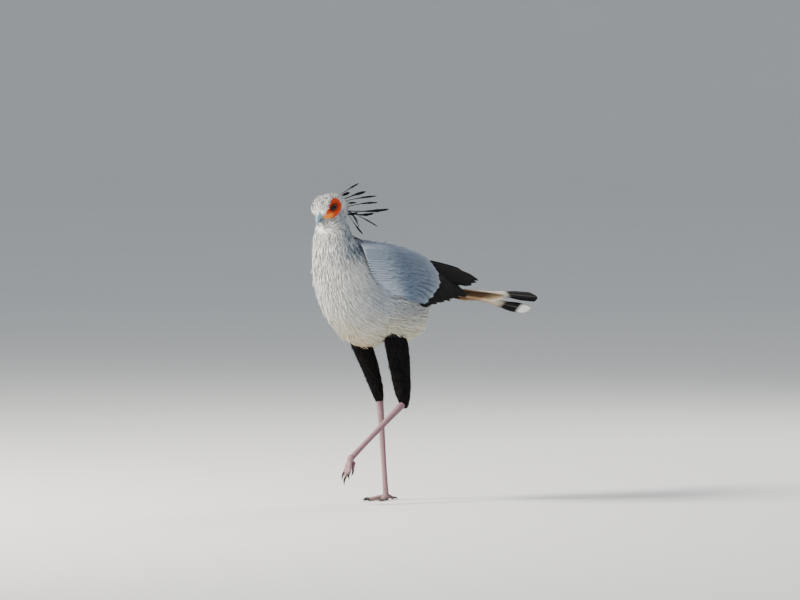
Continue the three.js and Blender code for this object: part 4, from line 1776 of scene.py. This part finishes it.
@dataclass
class Crest:
    """The long loose feathers of the nape."""

    rows: tuple[tuple[float, ...], ...] = (
        (12, 32, 76, -3, 4),
        (-4, 19, 82, -5, 6.5),
        (-12, 9, 120, -6, 4.5),
        (-32, 8, 108, -9, 4.5),
        (-44, 1.5, 148, 9, 6.5),
        (-47, -4, 92, 16, 6),
        (-40, -27, 126, -6, 3),
        (-49, -54, 92, 8, 4),
        (-46, -38, 58, -16, 2.6),
        (-52, -50, 62, -20, 2.6),
    )
    near: float = 38.0
    far: float = -4.0
    far_scale: float = 0.84
    far_rows: tuple[int, ...] = (1, 3, 5, 7)
    root_y: float = 64.0
    spread: float = 8.0
    stations: int = 16

    def feather(self, row: tuple[float, ...], index: int, side: int) -> Vanes:
        """One crest feather.

        Args:
            row: root height, elevation, length, bend and half width.
            index: its number.
            side: 1 for left, -1 for right.

        Returns:
            The vane.
        """
        height, elevation, length, bend, half = row
        near = side > 0
        heading = math.radians(self.near - 4 * (index % 3) if near else self.far + 5 * (index % 3))
        rise = math.radians(elevation)
        reach = length * (1 if near else self.far_scale)
        level = math.cos(rise)
        ahead = np.array([math.sin(heading) * level, math.cos(heading) * level, math.sin(rise)])
        root = HEAD.out(np.array([side * self.spread * (1 + index % 2), self.root_y, height]))
        share = np.linspace(0, 1, self.stations)
        centre = root + ahead * (reach * share)[:, None] + UP * (bend * (share**2 - share) * 2)[:, None]
        flat = unit(np.array([math.cos(heading), -math.sin(heading), 0.35]))
        across = unit(np.cross(unit(np.gradient(centre, axis=0)), flat))
        ragged = 1 + 0.12 * np.sin(share * 31 + index)
        width = 0.8 * half * profile(SPATULATE, self.stations) * ragged
        patch = np.array([0.5 + side * 0.05 * (1 + index % 2), 0.5 + height / 200])
        return one_vane(centre, flat, across, width, patch, INK, thick=0.6, cup=0.1)

    def build(self, finish: bpy.types.Material) -> None:
        """Makes the crest.

        Args:
            finish: its material.
        """
        groups = [self.feather(row, i, 1) for i, row in enumerate(self.rows)]
        groups += [self.feather(self.rows[i], i, -1) for i in self.far_rows]
        mesh = vane_mesh("crest_feathers", groups)
        add_object(mesh, finish, Slot.BLACK, "crest")


@dataclass
class Mantle:
    """The dark plumes that lie along the upper edge of each shoulder."""

    count: int = 9
    first: tuple[float, float, float] = (12.0, -197.0, 893.0)
    step: tuple[float, float, float] = (30.0, 34.0, -29.0)
    length: float = 60.0
    half: float = 4.2
    stations: int = 12

    def build(self, finish: bpy.types.Material) -> None:
        """Makes the plumes.

        Args:
            finish: their material.
        """
        groups = []
        s = np.linspace(0, 1, self.stations)
        normal = unit(np.array([0.45, -0.1, 0.9]))
        width = self.half * profile(BROAD, self.stations)
        for side in SIDES.values():
            for i in range(self.count):
                share = i / (self.count - 1)
                root = np.array(self.first) + np.array(self.step) * share
                ahead = unit(np.array([0.54, 0.64, -0.54 + 0.02 * (i % 3)]))
                rise = UP * (-1.5 + 5 * s * (1 - s))[:, None]
                centre = mirrored(root + ahead * (self.length * (1 - 0.3 * share) * s)[:, None] + rise, side)
                across, above = mirrored(unit(np.cross(ahead, normal)) * side, side), mirrored(normal, side)
                patch = BODY_LINE.unwrap(centre[:1])
                groups.append(one_vane(centre, above, across, width, patch, INK * 1.5, thick=0.7, cup=0.15))
        mesh = vane_mesh("mantle_plumes", groups)
        add_object(mesh, finish, Slot.BLACK)


@dataclass
class Eye:
    """An eyeball with its lids and lashes."""

    name: str
    ring: float = 9.6
    squint: float = 0.8
    stretch: float = 1.28
    lid_x: float = 43.4
    folds: tuple[tuple[float, float, float], ...] = ((1.0, 1.9, 0.0), (1.3, 1.5, -2.0), (1.62, 1.2, -4.6))
    lashes: int = 14
    lash_start: float = 28.0
    lash_span: float = 124.0
    lash_root: float = 0.34
    lash_tip: float = 0.06

    @property
    def side(self) -> int:
        """1 for left, -1 for right."""
        return SIDES[self.name]

    def _globe(self) -> Surface:
        """The eyeball, a ball with its pole along the axis of sight."""
        surface = Surface()
        ball = globe(28, 36, 0.02)[..., [2, 0, 1]]
        surface.tube(HEAD.out(mirrored(EYE, self.side) + mirrored(ball, self.side) * EYE_RADIUS))
        return surface

    def _lids(self) -> Surface:
        """Fleshy rims round the opening, almond shaped: rings of a round section on the head's curve."""
        surface = Surface()
        angle, section = circle(48)[:, None], circle(10)
        for size, thick, shift in self.folds:
            out = self.ring * size + thick * np.cos(section)
            y = out * np.cos(angle) * (self.stretch + 0.06 * np.cos(angle))
            z = out * np.sin(angle) * self.squint
            x = self.lid_x + shift + thick * np.sin(section) - 0.006 * (y**2 + z**2)
            points = HEAD.out(np.stack([x * self.side, EYE[1] + y, EYE[2] + z], -1))
            surface.shell(points.reshape(-1, 3), ring_faces(48, 10, closed=True))
        return surface

    def _lashes(self) -> Surface:
        """Long stiff lashes along the upper lid."""
        surface = Surface()
        share = np.linspace(0, 1, 6)[:, None]
        radii = np.repeat(self.lash_root + (self.lash_tip - self.lash_root) * share, 2, axis=1)
        for i in range(self.lashes):
            angle = math.radians(self.lash_start + self.lash_span * i / (self.lashes - 1))
            y, z = self.ring * math.cos(angle), self.ring * self.squint * math.sin(angle)
            base = np.array([self.lid_x + 0.4, EYE[1] + y, EYE[2] + z])
            lean = np.array([5.0, 2.0 * math.cos(angle) + 1.5, 3.2])
            curl = np.array([0.0, 1.0, 2.2])
            path = HEAD.out(mirrored(base + lean * share + curl * share**2, self.side))
            surface.tube(limb_rings(path, radii, 6, 6, side=UP))
        return surface

    def build(self, ball: bpy.types.Material, skin: bpy.types.Material, lash: bpy.types.Material) -> None:
        """Makes the eye.

        Args:
            ball: the eyeball's material.
            skin: the lids' material.
            lash: the lashes' material.
        """
        mesh = self._globe().mesh(f"eyeball_{self.name}")
        local = HEAD.into(mesh_points(mesh)) - mirrored(EYE, self.side)
        off_axis = np.degrees(np.arccos(np.clip(local[:, 0] * self.side / EYE_RADIUS, -1, 1)))
        iris = blend(IRIS_INNER, IRIS_OUTER, ramp(off_axis, 26, 40))
        colour = blend(PUPIL, iris, ramp(off_axis, 22, 25))
        set_colours(mesh, blend(colour, EYE_RIM, ramp(off_axis, 42, 47)))
        add_object(mesh, ball, Slot.EYE, f"eye_{self.name}")
        mesh = self._lids().mesh(f"lids_{self.name}")
        local = HEAD.into(mesh_points(mesh)) - mirrored(EYE, self.side)
        away = np.hypot(local[:, 1] / self.stretch, local[:, 2] / self.squint)
        set_colours(mesh, blend(LID, ORANGE * 0.8, ramp(away, 12.5, 15.5)))
        add_object(mesh, skin, Slot.FACE)
        mesh = self._lashes().mesh(f"lashes_{self.name}")
        set_colours(mesh, INK)
        add_object(mesh, lash, Slot.BLACK)


@dataclass
class Bill:
    """The bill: cere, upper and lower mandible."""

    upper: tuple[tuple[float, ...], ...] = (
        (-30, 20, -30, -14, 17),
        (-42, 13, -41, -15, 13.5),
        (-52, 6, -50, -16, 10.5),
        (-60, -4, -56, -19, 7.5),
        (-65, -17, -60, -25, 4.5),
        (-65.5, -31, -63.5, -33, 1.2),
    )
    lower: tuple[tuple[float, ...], ...] = (
        (-26, -15.5, -26, -28, 14),
        (-40, -16.6, -38, -26, 11),
        (-50, -18, -47, -25, 7),
        (-54, -21.5, -52, -26, 3.5),
    )
    cere_end: float = 1.05
    nostril: tuple[float, float] = (-40.0, 4.0)
    slit_size: tuple[float, float] = (3.4, 1.4)
    slit_depth: float = 2.4

    def build(self, horn: bpy.types.Material, soft: bpy.types.Material) -> None:
        """Makes the bill.

        Args:
            horn: the mandibles' material.
            soft: the cere's material.
        """
        upper, lower = (Outline(rows, HEAD.centre, HEAD.matrix) for rows in (self.upper, self.lower))
        surface = Surface()
        surface.tube(upper.rings(np.linspace(0, self.cere_end, 24), 64))
        mesh = surface.mesh("cere_skin")
        local = HEAD.into(mesh_points(mesh))
        away = (local[:, 1:] - np.array(self.nostril)) / np.array(self.slit_size)
        slit = np.exp(-((away**2).sum(1))) * ramp(np.abs(local[:, 0]), 6, 9)
        inward = self.slit_depth * slit * np.sign(local[:, 0])
        move_points(mesh, HEAD.out(local - LEFT * inward[:, None]))
        colour = blend(CERE_YELLOW, CERE_GREY, ramp(local[:, 1], -37, -43))
        set_colours(mesh, blend(colour, NOSTRIL, np.clip(slit * 1.3, 0, 1)))
        add_object(mesh, soft, Slot.CERE, "cere")
        for name, form, start in (("bill_upper", upper, self.cere_end), ("bill_lower", lower, 0.0)):
            surface = Surface()
            places = start + (form.last - start) * (1 - (1 - np.linspace(0, 1, 40)) ** 1.2)
            surface.tube(form.rings(places, 48))
            mesh = surface.mesh(name + "_horn")
            local = HEAD.into(mesh_points(mesh))
            colour = blend(BILL_BLUE, BILL_TIP, ramp(local[:, 2], -14, -32))
            set_colours(mesh, blend(colour, BILL_BASE, 0.6 * ramp(local[:, 1], -50, -36)))
            add_object(mesh, horn, Slot.BILL, name)


@dataclass(frozen=True)
class FootPose:
    """How a foot holds its toes: drop, pitch in degrees, spread and shortening of the toes."""

    drop: float
    pitch: float
    hind_pitch: float
    hind_rise: float
    spread: float
    bent: float
    yaw: float


@dataclass
class Leg:
    """A bare shank with its foot, toes and claws."""

    name: str
    ankle: tuple[float, float, float]
    ball: tuple[float, float, float]
    pose: FootPose
    radius: float = 12.5
    toe_start: float = 8.0
    floor: bool = False
    shank_radii: tuple[tuple[float, float], ...] = ((12, 13), (10, 11), (9, 9.5), (8.5, 9), (10, 10.5))
    toe_radii: tuple[float, ...] = (8.4, 7.6, 8, 6.4, 6.6, 5.2)
    scute_pitch: float = 6.5
    scute_rise: float = 0.55
    net_rise: float = 0.3
    skin_sink: float = 0.45
    voxel: float = 1.5
    rounds: int = 4
    claw_radii: tuple[tuple[float, float], ...] = ((4.3, 4.6), (3.2, 3.8), (1.8, 2.2), (0.5, 0.6))
    toes: tuple[tuple[str, float, float, float], ...] = (
        ("middle", 0, 66, 24),
        ("inner", -33, 48, 24),
        ("outer", 33, 50, 20),
        ("hind", 176, 25, 22),
    )

    def _toe(self, name: str, angle: float, length: float, claw: float) -> tuple[Array, Array]:
        """The axis of a toe and that of its claw.

        Args:
            name: which toe it is.
            angle: its direction from straight ahead, in degrees.
            length: its length.
            claw: the length of its claw.

        Returns:
            Two lines of (4, 3) places.
        """
        hind, pose, side = name == "hind", self.pose, SIDES[self.name]
        fan = math.radians(angle * (1 if hind else pose.spread)) * side
        matrix = turn(2, side * pose.yaw) @ turn(0, pose.hind_pitch if hind else pose.pitch)
        end = self.toe_start + length * (1 if hind else pose.bent)
        low = pose.drop * (self.toe_radii[-1] - self.ball[2] - 1.2)
        rise = pose.hind_rise if hind else 0.0

        def spot(forward: Array, height: Array) -> Array:
            """Places at distances along the toe and heights over the ball of the foot."""
            local = np.stack([math.sin(fan) * forward, -math.cos(fan) * forward, height], -1)
            return local @ matrix.T + np.array(self.ball)

        s = np.array([0, 0.3, 0.65, 1.0])
        high = 0.15 * self.toe_radii[0]
        toe = spot(self.toe_start + (end - self.toe_start) * s, low * s + high * (1 - s) + rise)
        c = np.array([0, 0.45, 0.85, 1.0])
        drop = np.array([1, 2.4, -0.6, -3.6])
        nail = spot(end - 3 + (claw + 3) * c, low + drop + rise * (1 - pose.drop))
        return toe, nail

    def build(self, skin: bpy.types.Material, horn: bpy.types.Material) -> None:
        """Makes the leg.

        Args:
            skin: the scaly skin's material.
            horn: the claws' material.
        """
        ankle, ball = np.array(self.ankle, float), np.array(self.ball, float)
        forms, claws = Surface(), Surface()
        path = ankle + (ball - ankle) * np.linspace(0, 1, 5)[:, None]
        forms.tube(limb_rings(path, self.shank_radii, 90, 28))
        forms.tube(ball + self.radius * globe(18, 28, 0.05))
        nodes, claw_nodes = [f"shank_{self.name}", f"foot_{self.name}"], []
        toe_radii = [(r, 0.92 * r) for r in self.toe_radii]
        claw_radii = Spline(self.claw_radii)(np.linspace(0, 3, 12))
        for name, angle, length, claw in self.toes:
            toe, nail = self._toe(name, angle, length, claw)
            forms.tube(limb_rings(toe, toe_radii, 36, 20))
            claws.tube(limb_rings(nail, claw_radii, 16, 14))
            nodes.append(f"toe_{self.name}_{name}")
            claw_nodes.append(f"claw_{self.name}_{name}")
        mesh = remeshed(forms, f"leg_{self.name}_skin", self.voxel, self.rounds)
        points, colour = self._scaled(mesh_points(mesh), mesh_normals(mesh), ankle, ball)
        move_points(mesh, self._grounded(points))
        set_colours(mesh, colour)
        add_object(mesh, skin, Slot.LEG, *nodes)
        mesh = claws.mesh(f"leg_{self.name}_claws")
        move_points(mesh, self._grounded(mesh_points(mesh)))
        set_colours(mesh, CLAW_BLACK)
        add_object(mesh, horn, Slot.CLAW, *claw_nodes)

    def _grounded(self, points: Array) -> Array:
        """Points kept at or over the floor, where this leg stands on it."""
        return np.maximum(points, [-np.inf, -np.inf, 0.0]) if self.floor else points

    def _scaled(self, points: Array, normals: Array, ankle: Array, ball: Array) -> tuple[Array, Array]:
        """Raises scutes along the front, |sin(pi d / pitch)|^0.6, and a net of scales elsewhere.

        Args:
            points: (n, 3) places on the smooth leg.
            normals: (n, 3) normals there.
            ankle: the shank's upper end.
            ball: the ball of the foot.

        Returns:
            The moved places and their colours.
        """
        shank = ball - ankle
        share = np.clip(((points - ankle) @ shank) / (shank @ shank), 0, 1)
        from_ball = np.linalg.norm(points - ball, axis=1)
        along = np.where(ramp(from_ball, 20, 34) > 0.5, share * np.linalg.norm(shank), from_ball)
        offset = points - (ankle + shank * share[:, None])
        front = ramp(-offset[:, 1], -1.0, 4.0)
        scutes = np.abs(np.sin(along * math.pi / self.scute_pitch)) ** 0.6
        net = 0.5 + 0.5 * np.sin(along * 1.6) * np.sin(np.arctan2(offset[:, 1], offset[:, 0]) * 9)
        relief = self.scute_rise * scutes * front + self.net_rise * net * (1 - front)
        points = points + normals * (relief - self.skin_sink)[:, None]
        height = self._grounded(points)[:, 2]
        colour = blend(LEG_MAUVE, LEG_PINK, front)
        colour = blend(colour, LEG_GROOVE, 0.6 * ramp(scutes, 0.45, 0.2) * front)
        colour = blend(colour, LEG_DUST, 0.4 * ramp(height, 24, 4))
        knob = ramp(np.linalg.norm(self._grounded(points) - ankle, axis=1), 40, 14)
        return points, blend(colour, LEG_JOINT, knob)


@dataclass
class Studio:
    """The floor, the lights and the camera, which looks past the origin by a share of the width."""

    azimuth: float = 46.0
    elevation: float = 4.5
    distance: float = 20.0
    lens: float = 272.73
    sensor: float = 36.0
    offset: tuple[float, float] = (0.0175, 0.25)
    flat: float = 36.0
    bend: float = 14.0
    wall: float = 34.0

    def _area(
        self, name: str, place: Sequence[float], size: float, power: float, colour: Sequence[float]
    ) -> None:
        """Adds a square light that faces the bird's body.

        Args:
            name: its name.
            place: where it is, in metres.
            size: its side in metres.
            power: its power in watts.
            colour: its colour.
        """
        data = bpy.data.lights.new(name, "AREA")
        data.size, data.energy, data.color = size, power, colour
        obj = bpy.data.objects.new(name, data)
        bpy.context.scene.collection.objects.link(obj)
        obj.location = place
        obj.rotation_euler = (Vector((0, 0, 0.6)) - Vector(place)).to_track_quat("-Z", "Y").to_euler()

    def _floor(self, finish: bpy.types.Material) -> None:
        """Makes the floor, a bowl of revolution: flat, then a quarter circle up, then straight up.

        Args:
            finish: its material.
        """
        bend = np.linspace(0, math.pi / 2, 16)
        curve = self.bend * np.stack([np.sin(bend), 1 - np.cos(bend)], -1) + np.array([self.flat, 0.0])
        wall = [[self.flat + self.bend, self.wall]]
        middle = [[1.0, 0.0], [12.0, 0.0], [26.0, 0.0]]
        radius, height = np.concatenate([middle, curve, wall]).T[:, :, None] / MM
        angle, sides = circle(64), 64
        rings = np.stack([radius * np.cos(angle), radius * np.sin(angle), height + 0 * angle], -1)
        order = np.arange(sides)
        fan = np.stack([np.full(sides, len(radius) * sides), order, (order + 1) % sides], -1)
        surface = Surface()
        points = np.concatenate([rings.reshape(-1, 3), np.zeros((1, 3))])
        surface.add(points, ring_faces(len(radius), sides)[:, ::-1], fan)
        obj = bpy.data.objects.new("floor", surface.mesh("floor"))
        obj.data.materials.append(finish)
        bpy.context.scene.collection.objects.link(obj)

    def _camera(self) -> None:
        """Adds the camera, turned from the origin by the offset."""
        data = bpy.data.cameras.new("camera")
        data.lens, data.sensor_width, data.clip_end = self.lens, self.sensor, 200.0
        a, e = math.radians(self.azimuth), math.radians(self.elevation)
        back = Vector((math.sin(a) * math.cos(e), -math.cos(a) * math.cos(e), math.sin(e)))
        right = Vector((math.cos(a), math.sin(a), 0.0))
        side, rise = (share * self.sensor / self.lens for share in self.offset)
        view = right * side + back.cross(right) * rise - back
        camera = bpy.data.objects.new("camera", data)
        camera.location = back * self.distance
        camera.rotation_euler = view.to_track_quat("-Z", "Y").to_euler()
        bpy.context.scene.collection.objects.link(camera)
        bpy.context.scene.camera = camera

    def build(self, floor: bpy.types.Material) -> None:
        """Makes the studio.

        Args:
            floor: the floor's material.
        """
        self._floor(floor)
        self._area("key", (-2.2, -3.8, 3.9), 1.4, 800.0, (1.0, 0.94, 0.84))
        self._area("fill", (4.5, -1.0, 2.2), 3.5, 40.0, (0.8, 0.9, 1.0))
        self._area("rim", (-1.0, 4.0, 3.8), 2.0, 160.0, (1.0, 0.96, 0.9))
        world = bpy.data.worlds.new("studio")
        bpy.context.scene.world = world
        world.use_nodes = True
        sky = world.node_tree.nodes["Background"].inputs
        sky["Color"].default_value, sky["Strength"].default_value = (0.82, 0.88, 0.95, 1.0), 0.6
        self._camera()


def main() -> None:
    """Builds the bird piece by piece in order."""
    logging.basicConfig(level=logging.INFO, format="%(name)s %(message)s")
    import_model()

    plume = PlumeFinish("small_feathers").make()
    slate = PlumeFinish("covert_feathers", rough=0.75, barbs=0.16, shaft=0.25, mottle=0.14).make()
    matt = {"rough": 0.8, "sheen": 0.0, "gloss": 0.08}
    dark = PlumeFinish("dark_feathers", barbs=0.3, mottle=0.3, shaft=0.02, **matt).make()
    tail = PlumeFinish("tail_vanes", barbs=0.14, mottle=0.14, shaft=0.2, **matt).make()
    skin = SkinFinish("bare_skin").make()
    scaly = SkinFinish("scaly_skin", wrinkle=1400.0, depth=0.0004, rough=0.5, coat=0.1, variation=0.25).make()
    horn = HornFinish("horn").make()
    soft = HornFinish("cere_horn", rough=0.45, coat=0.1).make()
    wet = EyeFinish("eyeball").make()

    body = BodySkin()
    body_mesh = body.build()
    body.dress(body_mesh, skin)
    BodyCoat().build(body_mesh, plume)
    for name, (path, radii) in THIGHS.items():
        Thigh(name, path, radii).build(skin, dark)
    for name in SIDES:
        Wing(name).build(slate, dark, skin)
        Eye(name).build(wet, skin, dark)
    Tail().build(tail)
    Crest().build(dark)
    Mantle().build(dark)
    Bill().build(horn, soft)
    lifted = FootPose(drop=0.0, pitch=69.0, hind_pitch=-101.0, hind_rise=13.0, spread=0.4, bent=0.86, yaw=0.0)
    standing = FootPose(drop=1.0, pitch=0.0, hind_pitch=0.0, hind_rise=1.5, spread=1.0, bent=1.0, yaw=3.0)
    Leg("left", ankle=(75, 9, 324), ball=(64, -222, 151), pose=lifted).build(scaly, horn)
    Leg("right", ankle=(-25, -4, 328), ball=(0, 0, 11), pose=standing, floor=True).build(scaly, horn)
    Studio().build(FloorFinish("floor").make())


if __name__ == "__main__":
    main()
